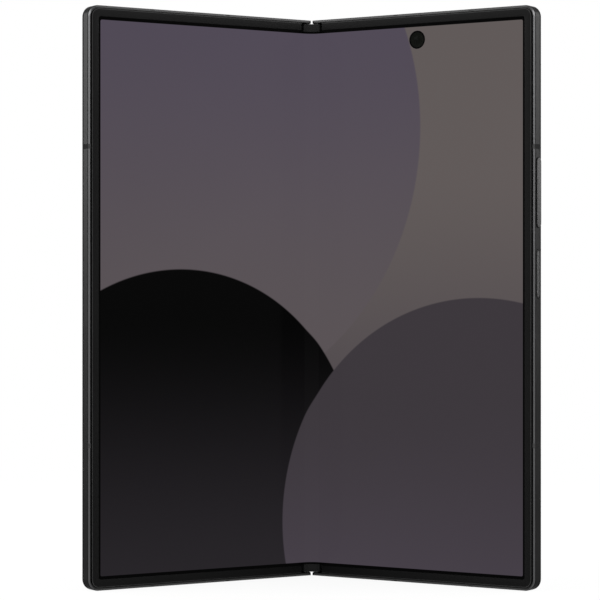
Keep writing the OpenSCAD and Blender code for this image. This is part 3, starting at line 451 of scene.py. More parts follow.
# %% Turned pieces, and the eye in the screen: a black flange, a slope and a domed lens
def turned(side, u, w, profile, segments=64):
    """profile holds (radius, depth) from the middle outwards and back behind to the middle."""
    radius, depth = np.array(profile).T
    angle = np.linspace(0, 2 * math.pi, segments + 1)
    across = u + radius[:, None] * np.cos(angle)
    height = w + radius[:, None] * np.sin(angle)
    grid = placed(side, across, depth[:, None] + 0 * angle, height)
    reach = np.broadcast_to((radius / radius.max())[:, None], across.shape)
    return grid, np.stack([np.broadcast_to(angle / (2 * math.pi), across.shape), reach], axis=-1)


def dome(radius, edge_d, rise, steps=8):
    """A shallow cap: the depth moves by rise x (1 - (r / radius) squared) in the middle."""
    r = np.linspace(0, radius, steps)
    return [(float(a), float(edge_d + rise * (1 - (a / radius) ** 2))) for a in r]


flange_r = eye_r - 0.02 * mm
flange_edge = 0.05 * mm
barrel_r = 0.42 * flange_r
slope_r = 0.8 * flange_r
eye_d = front_d + 0.01 * mm
eye_t = 0.4 * mm
sunk_d = eye_d + 0.09 * mm
profile = dome(barrel_r, sunk_d, -0.07 * mm)
profile += [(1.12 * barrel_r, sunk_d + 0.01 * mm), (slope_r, eye_d + 0.015 * mm),
            (flange_r - flange_edge, eye_d), (flange_r, eye_d + flange_edge),
            (flange_r, eye_d + eye_t), (0.0, eye_d + eye_t)]
grid, uv = turned(RIGHT, eye_u, eye_w, profile)
welded_piece("inner_camera_eye", [grid], "camera_half", "sensor_glass", [uv])

# %% Rear windows and the lenses below them
island_u, island_w = 60.2 * mm, body_h - 29.2 * mm
lens_pitch = 16.4 * mm
window_r = 5.28 * mm
window_edge = 0.06 * mm
window_d, window_back = 6.65 * mm, 6.25 * mm
window_profile = [(0.0, window_d), (window_r - window_edge, window_d),
                  (window_r, window_d - window_edge), (window_r, window_back), (0.0, window_back)]
seat_d = 5.42 * mm
dome_steps = [(0.76, 0.06), (0.88, 0.16), (0.9, 0.1), (1.0, 0.24), (1.0, -0.05), (0.0, -0.05)]
windows, elements = [], []
for row, radius in ((-1, 2.3 * mm), (0, 2.8 * mm), (1, 2.5 * mm)):
    at = island_w + row * lens_pitch
    windows.append(turned(RIGHT, island_u, at, window_profile, 96))
    stack = dome(0.72 * radius, seat_d + 0.1 * mm, 0.22 * mm, 10)
    stack += [(share * radius, seat_d + rise * mm) for share, rise in dome_steps]
    elements.append(turned(RIGHT, island_u, at, stack))
welded_piece("rear_lens_windows", [grid for grid, _ in windows], "camera_half", "lens_glass",
             replaces=["lens_windows"])
welded_piece("rear_lens_elements", [grid for grid, _ in elements], "camera_half", "sensor_glass",
             [uv for _, uv in elements])

# %% [markdown]
# ## Crisp edges that catch the light
#
# The rigid CAD parts are right in shape, but a machined edge is never perfectly sharp:
# a tiny round breaks it, and that line of light is what makes metal look like metal. A
# Weld joins the loose triangles and a Bevel rounds the sharp edges, both as modifiers,
# so that the mesh itself stays as the CAD made it.

# %% Small rounds on visible rigid parts, in millimetres
edge_round = {"camera_island": 0.12, "lens_rings": 0.15, "volume_key": 0.10, "side_key": 0.06,
              "sim_tray": 0.03, "spine_end_caps": 0.05}
for name, radius in edge_round.items():
    part = frame["nodes"][name]
    weld = part.modifiers.new("weld", "WELD")
    weld.merge_threshold = 1e-6
    bevel = part.modifiers.new("edge_round", "BEVEL")
    bevel.width = radius * mm
    bevel.segments = 3
    bevel.limit_method = "ANGLE"
    bevel.angle_limit = math.radians(40)
print("rounded the edges of", len(edge_round), "parts")

# %% [markdown]
# ## Writing finishes as sums
#
# A finish is a small network of nodes, and wiring it by hand hides what it means. Here
# one class wraps a socket so that numbers over the surface can be added and multiplied
# like numbers in Python, and one method makes any other node. A finish then reads as a
# formula. Only what changes over the surface is wired; the rest is set on the shader.

# %% A socket that can be added and multiplied
class Level:
    """A number that changes over the surface."""

    def __init__(self, finish, socket):
        self.finish, self.socket = finish, socket

    def math(self, operation, *others, swap=False):
        """A Math node on this level and others, or numbers; swap turns their order round."""
        terms = [self, *others][::-1] if swap else [self, *others]
        node = self.finish.node("ShaderNodeMath", {"operation": operation}, dict(enumerate(terms)))
        return Level(self.finish, node.outputs[0])

    def __add__(self, other):
        return self.math("ADD", other)

    def __sub__(self, other):
        return self.math("SUBTRACT", other)

    def __rsub__(self, other):
        return self.math("SUBTRACT", other, swap=True)

    def __mul__(self, other):
        return self.math("MULTIPLY", other)

    __radd__, __rmul__ = __add__, __mul__

    def ease(self, low, high):
        """0 below low, 1 above high, and a smooth step between them."""
        node = self.finish.node("ShaderNodeMapRange", {"interpolation_type": "SMOOTHSTEP"},
                                {"Value": self, "From Min": low, "From Max": high})
        return Level(self.finish, node.outputs["Result"])

    def past(self, at, soft):
        """0 well below at and 1 well above, with a step that is twice soft wide."""
        return self.ease(at - soft, at + soft)


# %% A material: one shader, and any node that feeds it
class Finish:
    """One material: a Principled shader and the nodes that feed it."""

    def __init__(self, name, **constants):
        self.material = bpy.data.materials.new(name)
        self.material.use_nodes = True
        self.tree = self.material.node_tree
        self.tree.nodes.clear()
        self.shader = self.node("ShaderNodeBsdfPrincipled")
        self.output = self.node("ShaderNodeOutputMaterial",
                                inputs={"Surface": self.shader.outputs[0]})
        self.set(**constants)

    def set(self, **values):
        """Sets or links the shader's sockets, named with low lines for spaces."""
        self.feed(self.shader, {key.replace("_", " "): value for key, value in values.items()})

    def feed(self, node, inputs):
        """Links a socket or a Level to each named input, or sets the input to a plain value."""
        for key, value in inputs.items():
            socket = node.inputs[key]
            value = value.socket if isinstance(value, Level) else value
            if isinstance(value, bpy.types.NodeSocket):
                self.tree.links.new(value, socket)
            else:
                socket.default_value = value

    def node(self, kind, settings=None, inputs=None):
        """Any node: its settings first, then the values or links of its inputs."""
        node = self.tree.nodes.new(kind)
        for key, value in (settings or {}).items():
            setattr(node, key, value)
        self.feed(node, inputs or {})
        return node

    def blend(self, share, first, second):
        """Colour first where share is 0 and second where it is 1."""
        node = self.node("ShaderNodeMix", {"data_type": "RGBA"},
                         {0: share, 6: colour(first), 7: colour(second)})
        return node.outputs[2]

    def place(self):
        """The point on the object, in metres."""
        return self.node("ShaderNodeTexCoord").outputs["Object"]

    def axes(self, vector=None):
        """The three parts of a vector, or of the point on the object."""
        split = self.node("ShaderNodeSeparateXYZ", inputs={0: vector or self.place()})
        return [Level(self, output) for output in split.outputs]

    def surface(self):
        """U and V of the piece's own map."""
        where = self.node("ShaderNodeUVMap", {"uv_map": "surface"}).outputs[0]
        return self.axes(where)[:2]

    def noise(self, scale, detail=2.0, stretch=(1, 1, 1)):
        """Noise with scale cells to a metre, stretched along an axis by a factor below 1."""
        mapping = self.node("ShaderNodeMapping", inputs={"Vector": self.place(), "Scale": stretch})
        node = self.node("ShaderNodeTexNoise", inputs={
            "Vector": mapping.outputs[0], "Scale": scale, "Detail": detail})
        return Level(self, node.outputs[0])

    def bump(self, height, strength, distance):
        """The normal of a surface that height raises by at most distance, in metres."""
        node = self.node("ShaderNodeBump", inputs={
            "Height": height, "Strength": strength, "Distance": distance})
        return node.outputs["Normal"]


# %% Colours from display values, and the tables of finishes
def colour(value):
    """Three numbers become a colour; a link is passed on as it is."""
    return value if isinstance(value, bpy.types.NodeSocket) else (*value, 1.0)


def grey(level, tint=(1.0, 1.0, 1.0)):
    """A display grey from 0 to 255, as the linear light that a shader works in."""
    share = level / 255
    linear = share / 12.92 if share <= 0.04045 else ((share + 0.055) / 1.055) ** 2.4
    return tuple(linear * t for t in tint)


def display(rgb):
    """Three display values from 0 to 255 as linear light."""
    return tuple(grey(value)[0] for value in rgb)


finishes, own_finish = {}, {}


def keep(table, **materials):
    """Puts materials into a table by the name of their slot or part, and prints them."""
    table.update(materials)
    print("made", ", ".join(material.name for material in materials.values()))


print("a display grey of 72 is", round(grey(72)[0], 4), "in linear light")

# %% [markdown]
# ## Where a finish sits on a tilted half
#
# Some finishes follow the half they are on, such as the border of a display or the
# turns of a coil. The shader only knows the point in the room, so the placement from
# above is undone in nodes: first measured from the fold axis, then turned back flat.

# %% The flat section's coordinates inside a material
def half_section(finish, side):
    """u = axis + x' cos - y' sin and d = axis + x' sin + y' cos, from the fold axis."""
    x, y, z = finish.axes()
    from_x = x * side - axis_x
    from_y = y - axis_y
    u = from_x * math.cos(tilt) - from_y * math.sin(tilt) + axis_x
    d = from_x * math.sin(tilt) + from_y * math.cos(tilt) + axis_d
    return u, d, z


def distance(across, up):
    """Square root of across squared plus up squared."""
    return (across * across + up * up).math("SQRT")


def rounded_box(u, w, low, high, corner):
    """Distance outside a rectangle with round corners; it is negative inside. Each axis
    gives how far the point is past the box less the corner, and both are squared and added."""
    centre = [(a + b) / 2 for a, b in zip(low, high)]
    reach = [(b - a) / 2 - corner for a, b in zip(low, high)]
    past_u = (u - centre[0]).math("ABSOLUTE") - reach[0]
    past_w = (w - centre[1]).math("ABSOLUTE") - reach[1]
    outside = distance(past_u.math("MAXIMUM", 0.0), past_w.math("MAXIMUM", 0.0))
    inside = past_u.math("MAXIMUM", past_w).math("MINIMUM", 0.0)
    return outside + inside - corner


print(f"materials measure from an axis at {axis_x / mm:.2f}, {axis_y / mm:.2f} mm")

# %% [markdown]
# ## Anodised metal
#
# The frames, spine, keys, rings and tray are aluminium, blasted with fine beads and
# dyed a dark grey. The dye sits in a clear oxide, so the metal stays metallic but is
# soft to the light. A very fine grain in the bump spreads the highlights, and slow
# changes of roughness keep long edges from looking like plastic. The dyed oxide also
# swallows part of the light that bare metal would throw back at a low angle, which the
# grey edge tint on the shader stands for.

# %% Dark anodised aluminium
def blasted(finish, dark, light, rough):
    """Base colour, roughness and bump of bead-blasted and dyed metal, between two tones."""
    grain = finish.noise(9000.0, 2.0)
    cloud = finish.noise(55.0, 3.0)
    share = (grain - 0.5) * 0.5 + cloud
    finish.set(Roughness=cloud * 0.12 + grain * 0.06 + rough, Normal=finish.bump(grain, 0.1, 2e-6))
    return finish.blend(share, dark, light)


EDGE_TINT = 172  # the display grey that dyed metal throws back at a low angle


def dyed(name):
    """The shader for dyed metal, still without its base colour."""
    return Finish(name, Metallic=0.92, Specular_IOR_Level=0.3,
                  Specular_Tint=(*grey(EDGE_TINT), 1.0))


def anodised(name, tone):
    """Dyed metal within 4 display greys of its tone."""
    finish = dyed(name)
    finish.set(Base_Color=blasted(finish, grey(tone - 4), grey(tone + 4), 0.27))
    return finish.material


keep(finishes, dark_metal=anodised("dark_anodised_metal", 46))
keep(own_finish, volume_key=anodised("key_metal", 54), side_key=anodised("side_key_metal", 30))

# %% The frames: a wall, painted highlights on the chamfer and on a lip at each end, and painted shade along the wall's borders
half_w = 71.6 * mm
frame_corner = 3.1 * mm
chamfer_w, chamfer_d = 0.32 * mm, 0.58 * mm
lip_w, lip_d = 0.62 * mm, 0.075 * mm
# depths where the painted shade band behind the chamfer ends, and where the painted shade along the back begins
front_shade_end_d, back_shade_d = 0.925 * mm, 3.3 * mm


def frame_metal(side):
    """A painted highlight brightens the chamfer round the front and the lip at each end.
    Painted shade darkens the wall along both borders, where it turns into the chamfer and
    the back, and the wall is duller there."""
    finish = dyed(f"frame_metal_{SIDE_WORD[side]}")
    u, d, w = half_section(finish, side)
    outside = rounded_box(u, w, (-half_w, 0.0), (half_w, body_h), frame_corner)
    # painted highlight: a lighter band on the chamfer round the front
    painted_chamfer_highlight = outside.past(-chamfer_w, 0.04 * mm) * (1 - d.past(chamfer_d, 0.06 * mm))
    past_end = (w - body_h / 2).math("ABSOLUTE") - body_h / 2
    # painted highlight: a lighter band on the lip at each end
    painted_lip_highlight = past_end.past(-lip_w, 0.04 * mm) * (1 - d.past(lip_d, 0.025 * mm))
    # painted shade: bands along the wall's front and back borders, which are also made duller
    front_painted_shade = d.past(chamfer_d + 0.02 * mm, 0.06 * mm) * (1 - d.past(front_shade_end_d, 0.125 * mm))
    painted_shade_borders = front_painted_shade + d.past(back_shade_d, 0.2 * mm)
    wall = blasted(finish, grey(34), grey(40), painted_shade_borders * 0.26 + 0.3)
    # painted shade in the border bands, then the painted highlights on the lip and on the chamfer
    wall = finish.blend(painted_shade_borders * 0.8, wall, grey(12))
    wall = finish.blend(painted_lip_highlight, wall, grey(58))
    finish.set(Base_Color=finish.blend(painted_chamfer_highlight, wall, grey(74, (1.0, 1.0, 1.02))))
    return finish.material


keep(own_finish, right_frame=frame_metal(RIGHT), left_frame=frame_metal(LEFT))

# %% [markdown]
# ## Bare steel
#
# The hinge, its springs, the support plates and the shields are bare metal. What tells
# them apart is the direction of the fine lines that a cutter, a die or a roller leaves.
# Such lines could be drawn one by one, but noise that is stretched along one axis looks
# the same and needs no drawing.

# %% Machined, drawn and rolled steel
def steel(name, tone, stretch, rough):
    """Steel with fine lines along one axis: noise that is stretched the other way."""
    finish = Finish(name, Metallic=1.0)
    lines = finish.noise(4000.0, 3.0, stretch)
    spots = finish.noise(400.0, 2.0)
    share = lines * 0.7 + spots * 0.3
    finish.set(Base_Color=finish.blend(share, grey(tone - 14), grey(tone + 10)),
               Roughness=lines * 0.16 + spots * 0.1 + rough,
               Normal=finish.bump(lines, 0.3, 3e-6))
    return finish.material


keep(finishes,
     hinge_steel=steel("machined_steel", 170, (1, 1, 0.15), 0.22),
     spring_steel=steel("drawn_spring_steel", 180, (0.3, 0.3, 1), 0.2),
     support_metal=steel("rolled_steel_sheet", 160, (1, 1, 0.08), 0.3),
     shield_metal=steel("tinned_sheet", 176, (1, 1, 0.5), 0.26))

# %% [markdown]
# ## Soft black plastics
#
# The rims, antenna breaks and camera housings are moulded. Moulded plastic takes the
# texture of its tool, a fine spark-eroded grain, so it is dull with a faint sheen. The
# breaks fill cuts in the frame, and a painted highlight makes them paler on the chamfer.
# A painted highlight also draws a fine lighter line along the rim's outer edge.

# %% Moulded plastic and rubber
def tooled(finish, rough, strength=0.35, distance=6e-6):
    """Roughness and bump of a spark-eroded mould; it gives back the grain."""
    grain = finish.noise(5000.0, 3.0)
    finish.set(Roughness=grain * 0.15 + rough, Normal=finish.bump(grain, strength, distance))
    return grain


def clouded(finish, grain, dark, light):
    """Two tones, mixed by the grain and by slower clouds."""
    return finish.blend(grain * 0.6 + finish.noise(90.0, 2.0) * 0.4, dark, light)


def moulded(name, tone, rough, gloss=0.1):
    """Moulded plastic within 15 percent of its tone."""
    finish = Finish(name, Specular_IOR_Level=gloss)
    grain = tooled(finish, rough)
    finish.set(Base_Color=clouded(finish, grain, grey(tone * 0.85), grey(tone * 1.15)))
    return finish.material


def break_plastic(side):
    """A painted highlight makes it pale on the chamfer; behind the chamfer it is darker, with the grain in both.
    """
    finish = Finish(f"antenna_break_{SIDE_WORD[side]}", Specular_IOR_Level=0.0)
    _, d, _ = half_section(finish, side)
    grain = tooled(finish, 0.5)
    # painted highlight: the pale grey on the chamfer
    tone = finish.blend(d.past(chamfer_d, 0.06 * mm), grey(62), grey(32))
    finish.set(Base_Color=finish.blend(grain * 0.3, tone, grey(30)))
    return finish.material


def rim_plastic():
    """V of the UV map is the share of the rim's width, from its outer edge inwards."""
    finish = Finish("soft_rim_plastic", Specular_IOR_Level=0.05)
    _, across = finish.surface()
    # painted highlight: a fine lighter line near the rim's outer edge
    edge = across.ease(0.02, 0.04) * (1 - across.ease(0.09, 0.13))
    skin = clouded(finish, tooled(finish, 0.5, 0.15, 4e-6), grey(12), grey(16))
    finish.set(Base_Color=finish.blend(edge, skin, grey(52)))
    return finish.material


keep(finishes, bezel_rubber=rim_plastic(),
     camera_black=moulded("camera_housing_plastic", 20, 0.4),
     cover_screen=moulded("sleeping_display", 14, 0.25))
keep(own_finish, right_antenna_breaks=break_plastic(RIGHT),
     left_antenna_breaks=break_plastic(LEFT),
     fingerprint_sensor=moulded("sensor_coating", 30, 0.3, 0.06),
     spine_end_caps=moulded("end_cap_plastic", 28, 0.4))

# %% [markdown]
# ## The lit screen
#
# The screen shows a quiet wallpaper of large soft discs that overlap on a dark ground.
# It glows, so the picture is emission and the film over it adds only a weak
# reflection. The picture reads the UV map along the surface, so it bends with the fold
# and keeps its place in every pose. A black border hides the wiring at the edge.

# %% A wallpaper of overlapping discs
# Each disc has its centre, radius and soft edge in phone heights, its colours low and
# high, and the share of its height where the high one is full.
WARM, DUSK, NIGHT = (99, 92, 91), (72, 66, 73), (4, 4, 4)
DISCS = [((0.16, 0.80), 0.50, 0.002, (92, 85, 88), (82, 75, 88), 0.75),
         ((0.17, 0.19), 0.36, 0.0015, (42, 39, 43), NIGHT, 0.9),
         ((0.34 + panel_s / body_h, 0.10), 0.40, 0.0015, (76, 69, 79), (62, 57, 62), 0.8)]
dark_side, dark_end = 0.60 * mm, 0.85 * mm
lit_corner = 0.45 * mm


def wallpaper(finish, u, v):
    """Each disc is 1 inside, 0 outside and soft at its edge, and lies over the last ones."""
    picture = finish.blend(v.ease(0.05, 0.75), display(DUSK), display(WARM))
    for centre, radius, soft, low, high, full in DISCS:
        lift = (v - centre[1]) * (0.5 / radius) + 0.5
        fill = finish.blend(lift.ease(0.1, full), display(low), display(high))
        inside = 1 - distance(u - centre[0], v - centre[1]).past(radius, soft)
        picture = finish.blend(inside, picture, fill)
    return finish.blend(finish.noise(14.0, 2.0) * 0.10, picture, display(NIGHT))


def lit_screen():
    """The wallpaper inside a rounded rectangle, and nearly black outside it."""
    finish = Finish("lit_folding_screen", Base_Color=(*grey(1), 1.0), Specular_IOR_Level=0.05,
                    IOR=1.25, Emission_Strength=1.0)
    wide, v = finish.surface()
    picture = wallpaper(finish, wide * (2 * panel_s / body_h), v)
    s = (wide - 0.5) * (2 * panel_s)
    active = length_at(rim_u - rim_w - dark_side)
    low = rim_end + rim_end_w + dark_end
    border = rounded_box(s, v * body_h, (-active, low), (active, body_h - low), lit_corner)
    lit = 1 - border.past(0.0, 0.03 * mm)
    smear = finish.noise(30.0, 2.0)
    finish.set(Emission_Color=finish.blend(lit, grey(2), picture),
               Roughness=smear * 0.04 + 0.06)
    return finish.material


keep(finishes, folding_screen=lit_screen())

# %% [markdown]
# ## Glass
#
# The back glass is etched to a satin, with a slight sparkle from the film below. The
# cover glass is polished and shows the sleeping display as a slightly different black
# inside its border, with the eye of a small camera at the top. Both are drawn as coated
# dark bodies, because the light never gets through to the battery anyway. The lens
# windows are smoked, and most of the light goes through them to the lenses below.

# %% Satin back glass, polished cover glass and smoked windows
def satin_glass():
    """Cloudy grey, and half way to a light grey where a flake's noise is high."""
    finish = Finish("satin_back_glass", Specular_IOR_Level=0.2)
    flakes = finish.noise(14000.0, 1.0)
    cloud = finish.noise(35.0, 3.0)
    sparkle = flakes.ease(0.62, 0.78)
    base = finish.blend(cloud, grey(46, (1.0, 1.0, 1.03)), grey(54, (1.0, 1.0, 1.03)))
    finish.set(Base_Color=finish.blend(sparkle * 0.5, base, grey(84)),
               Roughness=cloud * 0.08 + flakes * 0.05 + 0.33,
               Normal=finish.bump(flakes, 0.15, 2e-6))
    return finish.material


cover_low, cover_high = (6.9 * mm, 2.6 * mm), (69.2 * mm, body_h - 2.6 * mm)
cover_corner = 2.0 * mm
cover_eye_u, cover_eye_w = 39.0 * mm, body_h - 6.9 * mm
cover_eye_r, cover_lens_r = 1.95 * mm, 0.9 * mm


def polished_cover():
    """A display inside a rounded rectangle, and a camera's eye round its own axis."""
    finish = Finish("polished_cover_glass", Specular_IOR_Level=0.2)
    u, _, w = half_section(finish, LEFT)
    active = 1 - rounded_box(u, w, cover_low, cover_high, cover_corner).past(0.0, 0.06 * mm)
    reach = distance(u - cover_eye_u, w - cover_eye_w)
    shade = finish.blend(active, grey(9), grey(17, (1.0, 1.0, 1.1)))
    shade = finish.blend(1 - reach.past(cover_eye_r, 0.05 * mm), shade, grey(4))
    # painted reflection: the bluish middle of the eye stands for light thrown back by the lens coating
    shade = finish.blend(1 - reach.past(cover_lens_r, 0.2 * mm), shade, display((22, 24, 38)))
    smear = finish.noise(20.0, 3.0)
    finish.set(Base_Color=shade, Roughness=smear * 0.05 + 0.03)
    return finish.material


def smoked_window():
    """A quarter of the surface is a polished black and the rest lets the light through."""
    finish = Finish("smoked_lens_window", Base_Color=(*grey(6), 1.0), Specular_IOR_Level=0.5,
                    Alpha=0.25)
    smear = finish.noise(60.0, 2.0)
    finish.set(Roughness=smear.ease(0.5, 0.8) * 0.05 + 0.03)
    return finish.material


keep(finishes, back_glass=satin_glass(), front_glass=polished_cover(),
     lens_glass=smoked_window())

# %% [markdown]
# ## Coated lenses
#
# A thin coating makes the front of a lens throw back violet and blue from its middle,
# and a dull black flange holds it. The shader could work out a thin film, but plain
# rings of colour by the piece's own map look the same and stay when the model is baked.

# %% Coated lenses: rings of colour from the middle outwards
def coated_eye(name, flange, glass, middle_tone, gloss):
    """Black outside, then the flange, the coated glass and a darker or lighter middle.
    V of the map is the share of the piece's radius, so the rings are shares too."""
    finish = Finish(name, Specular_IOR_Level=gloss)
    _, reach = finish.surface()
    shade = finish.blend(1 - reach.ease(0.05, 0.42), display(flange), display(glass))
    shade = finish.blend(1 - reach.ease(0.0, 0.16), shade, display(middle_tone))
    shade = finish.blend(reach.ease(0.78, 0.88), shade, grey(1))
    grain = finish.noise(700.0, 2.0)
    finish.set(Base_Color=finish.blend(grain * 0.3, shade, display((6, 6, 8))),
               Roughness=reach.ease(0.42, 0.6) * 0.18 + grain * 0.04 + 0.08)
    return finish.material


keep(finishes, sensor_glass=coated_eye(
    "coated_camera_lens", (16, 16, 17), (52, 42, 92), (30, 60, 96), 0.4))
keep(own_finish, inner_camera_eye=coated_eye(
    "dark_camera_eye", (16, 17, 14), (14, 15, 13), (21, 22, 20), 0.005))

# %% [markdown]
# ## Inner parts
#
# Batteries, boards, cans, coils and magnets are hidden while the phone is closed up,
# but each has the finish of the real part, for anyone who opens the model.

# %% Battery film, board and magnets
def wrapped_cell():
    """Film whose creases are noise stretched upwards."""
    finish = Finish("battery_film_wrap", Coat_Weight=0.3, Coat_Roughness=0.2)
    creases = finish.noise(260.0, 4.0, (1, 1, 0.25))
    finish.set(Base_Color=finish.blend(creases, grey(42), grey(64)),
               Roughness=creases * 0.25 + 0.3,
               Normal=finish.bump(creases, 0.4, 5e-5))
    return finish.material


def coated_board():
    """Tracks along the borders of random cells, with small gold spots."""
    finish = Finish("coated_circuit_board", Coat_Weight=0.5, Coat_Roughness=0.15)
    cells = finish.node("ShaderNodeTexVoronoi", {"feature": "DISTANCE_TO_EDGE"},
                        {"Vector": finish.place(), "Scale": 900.0})
    track = 1 - Level(finish, cells.outputs[0]).ease(0.02, 0.08)
    spots = finish.noise(1500.0, 1.0).ease(0.64, 0.7)
    base = finish.blend(track, display((16, 56, 44)), display((34, 92, 70)))
    finish.set(Base_Color=finish.blend(spots, base, display((176, 148, 84))),
               Metallic=spots * 0.9, Roughness=0.45 - spots * 0.15)
    return finish.material


def plated_magnet():
    """Nickel plating with spots of a lighter tone."""
    finish = Finish("plated_magnet", Metallic=0.9)
    spots = finish.noise(800.0, 3.0)
    finish.set(Base_Color=finish.blend(spots, grey(128), grey(158)), Roughness=spots * 0.2 + 0.28)
    return finish.material


keep(finishes, battery_film=wrapped_cell(), circuit_board=coated_board(),
     magnet_grey=plated_magnet())

# %% Coil and flash, both drawn as rings about a point of the right half
def rings_about(finish, at_u, at_w, per_metre):
    """Rings as a sine of the distance from a point on the right half, and that distance."""
    u, _, w = half_section(finish, RIGHT)
    reach = distance(u - at_u, w - at_w)
    return (reach * per_metre).math("SINE") * 0.5 + 0.5, reach


coil_u, coil_w = 39.5 * mm, 55.0 * mm
flash_u, flash_w = 49.1 * mm, island_w + lens_pitch


def wound_copper():
    """Turns of copper as rings, with film between them."""
    finish = Finish("copper_on_film")
    turns, _ = rings_about(finish, coil_u, coil_w, 9000.0)
    spots = finish.noise(500.0, 2.0)
    film, copper = display((120, 70, 40)), display((206, 138, 92))
    finish.set(Base_Color=finish.blend(turns * 0.7 + spots * 0.3, film, copper),
               Metallic=turns * 0.5 + 0.4, Roughness=spots * 0.2 + 0.3,
               Normal=finish.bump(turns, 0.4, 3e-5))
    return finish.material


def milky_flash():
    """Fine rings like a stepped lens, drawn round the flash, and a yellower middle."""
    finish = Finish("milky_flash_lens", Coat_Weight=0.3, Coat_Roughness=0.05)
    rings, reach = rings_about(finish, flash_u, flash_w, 25000.0)
    lens, chip = display((192, 186, 172)), display((200, 184, 122))
    finish.set(Base_Color=finish.blend(1 - reach.past(0.9 * mm, 0.4 * mm), lens, chip),
               Roughness=rings * 0.15 + 0.18, Normal=finish.bump(rings, 0.5, 4e-5))
    return finish.material


keep(finishes, copper_trace=wound_copper(), flash_lens=milky_flash())

# %% [markdown]
# ## Every part gets its finish
#
# The record names a material slot for each part, and the table of finishes has a material
# for each slot that parts share. Both the CAD parts and the new pieces take theirs from
# it. Some parts have a finish of their own, which comes first. Materials could be set by
# hand, part by part, but with a table nothing is left in a plain colour.

# %% A material for every part and piece
slot_of = {part["node"]: part["material_slot"] for part in frame["record"]["subparts"]}
for name, part in frame["nodes"].items():
    for slot in part.material_slots:
        slot.material = own_finish.get(name) or finishes[slot_of[name]]
for slot, pieces in made.items():
    for piece in pieces:
        piece.data.materials.append(own_finish.get(piece.name) or finishes[slot])
print(len(finishes) + len(own_finish), "finishes on", len(frame["nodes"]), "parts and",
      sum(map(len, made.values())), "pieces")

# %% [markdown]
# ## Floor and light
#
# The phone stands on a pale floor that runs into a white background. The floor and the
# sky are white to the camera, and also to reflections and to clear glass, so that metal
# and glass show the same studio. A little of the floor's own shading stays in, which
# keeps the soft shadow under the phone.
#
# Two large soft lamps in front light the phone from the sides. Two smaller ones stand
# behind its sides, where the walls of the frames mirror them to the camera, so that the
# walls fade from light at the top to dark at the bottom. The left one is a little lower.

# %% A pale floor that keeps a soft shadow
def seen_rays(nodes, links):
    """1 for rays from the camera, from a reflection or through glass, and 0 for the others."""
    path = nodes.new("ShaderNodeLightPath")
    total = path.outputs["Is Camera Ray"]
    for name in ("Is Glossy Ray", "Is Transmission Ray"):
        both = nodes.new("ShaderNodeMath")
        both.operation = "MAXIMUM"
        links.new(total, both.inputs[0])
        links.new(path.outputs[name], both.inputs[1])
        total = both.outputs[0]
    return total


def pale_floor():
    """Mostly plain white to the camera, with a share of the real shading under the phone."""
    finish = Finish("pale_studio_floor", Roughness=0.9, Specular_IOR_Level=0.1)
    cloud = finish.noise(3.0, 2.0)
    finish.set(Base_Color=finish.blend(cloud, grey(236), grey(242)))
    white = finish.node("ShaderNodeEmission", inputs={"Color": (1, 1, 1, 1), "Strength": 1.0})
    x, y, _ = finish.axes()
    seen = Level(finish, seen_rays(finish.tree.nodes, finish.tree.links))
    share = seen * (distance(x, y).ease(0.05, 0.45) * 0.07 + 0.93)
    mix = finish.node("ShaderNodeMixShader",
                      inputs={0: share, 1: finish.shader.outputs[0], 2: white.outputs[0]})
    finish.feed(finish.output, {"Surface": mix.outputs[0]})
    return finish.material


FLOOR_REACH = 60.0
floor_mesh = bpy.data.meshes.new("studio_floor")
corners = FLOOR_REACH * np.array([[-1, -1, 0], [1, -1, 0], [1, 1, 0], [-1, 1, 0]])
floor_mesh.from_pydata(corners, [], [(0, 1, 2, 3)])
floor_mesh.materials.append(pale_floor())
floor = bpy.data.objects.new("studio_floor", floor_mesh)
bpy.context.scene.collection.objects.link(floor)
floor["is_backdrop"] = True
print(f"the floor reaches {FLOOR_REACH:.0f} m each way")

# %% A sky that is white to the eye and plainer as a light
SKY_LIGHT, SKY_SEEN = 0.4, 1.0


def studio_sky():
    """White light whose strength goes from one value to the other with the seen rays."""
    world = bpy.data.worlds.new("studio_sky")
    world.use_nodes = True
    nodes, links = world.node_tree.nodes, world.node_tree.links
    sky = nodes["Background"]
    sky.inputs["Color"].default_value = (1.0, 1.0, 1.0, 1.0)
    strength = nodes.new("ShaderNodeMapRange")
    links.new(seen_rays(nodes, links), strength.inputs["Value"])
    strength.inputs["To Min"].default_value = SKY_LIGHT
    strength.inputs["To Max"].default_value = SKY_SEEN
    links.new(strength.outputs["Result"], sky.inputs["Strength"])
    return world


bpy.context.scene.world = studio_sky()
print(f"the sky lights the phone at {SKY_LIGHT} and is seen at {SKY_SEEN}")

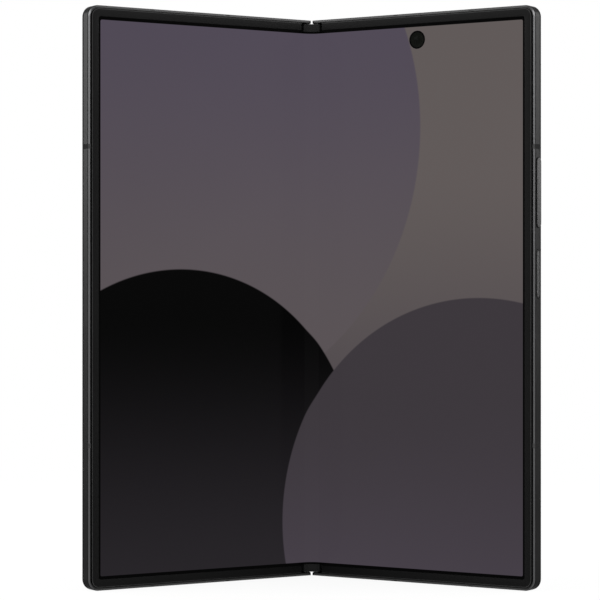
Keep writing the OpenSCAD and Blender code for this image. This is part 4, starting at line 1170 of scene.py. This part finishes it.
# %% Soft lamps: name, place, side of the square in metres, watts
LAMPS = [("left_softbox", (-0.95, -0.20, 0.62), 0.70, 12.0),
         ("right_softbox", (0.95, -0.20, 0.62), 0.70, 10.5),
         ("left_edge_light", (-1.03, 0.61, 0.365), 0.45, 9.5),
         ("right_edge_light", (1.03, 0.61, 0.42), 0.45, 9.5)]
for name, place, size, power in LAMPS:
    light = bpy.data.lights.new(name, "AREA")
    light.size = size
    light.energy = power
    lamp = bpy.data.objects.new(name, light)
    lamp.location = place
    towards = Vector((0.0, 0.0, middle)) - Vector(place)
    lamp.rotation_euler = towards.to_track_quat("-Z", "Y").to_euler()
    lamp.visible_camera = False
    bpy.context.scene.collection.objects.link(lamp)
print(len(LAMPS), "soft lamps look at the middle of the phone")

# %% [markdown]
# ## The camera
#
# A long lens from two thirds of a metre keeps the two halves nearly free of perspective.
# The camera could be turned to place the hinge a little right of the middle, but then
# upright edges would lean. So it looks straight ahead and its picture is shifted.

# %% The camera, level with the middle of the phone
PICTURE_SIDE = 600
hinge_px, middle_px = 311.65, 297.95
camera_distance = 672.3 * mm
camera_data = bpy.data.cameras.new("studio_camera")
camera_data.sensor_fit = "HORIZONTAL"
camera_data.sensor_width = 36.0
camera_data.lens = 145.0
camera_data.shift_x = 0.5 - hinge_px / PICTURE_SIDE
camera_data.shift_y = middle_px / PICTURE_SIDE - 0.5
camera_data.clip_end = 20.0
camera = bpy.data.objects.new("studio_camera", camera_data)
camera.location = (0.0, -camera_distance, middle)
camera.rotation_euler = (math.pi / 2, 0.0, 0.0)
bpy.context.scene.collection.objects.link(camera)
bpy.context.scene.camera = camera
bpy.context.scene.view_settings.view_transform = "Standard"
print(f"lens {camera_data.lens} mm, {camera_distance:.3f} m in front of the phone")

# %% [markdown]
# ## How far the phone grows past its parts
#
# What was added here may not make the phone larger. The box of the loaded parts, from
# the start, and the box of the finished phone are both measured, and the largest step of
# the second past the first is printed.

# %% Compare the two boxes and finish
boxes = {"cad": [list(corner) for corner in cad_box], "visual": [list(corner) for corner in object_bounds()]}
low_step, high_step = np.array(boxes["visual"]) - np.array(boxes["cad"])
print(f"largest step past the CAD box: {np.maximum(-low_step, high_step).max() / mm:.3f} mm")
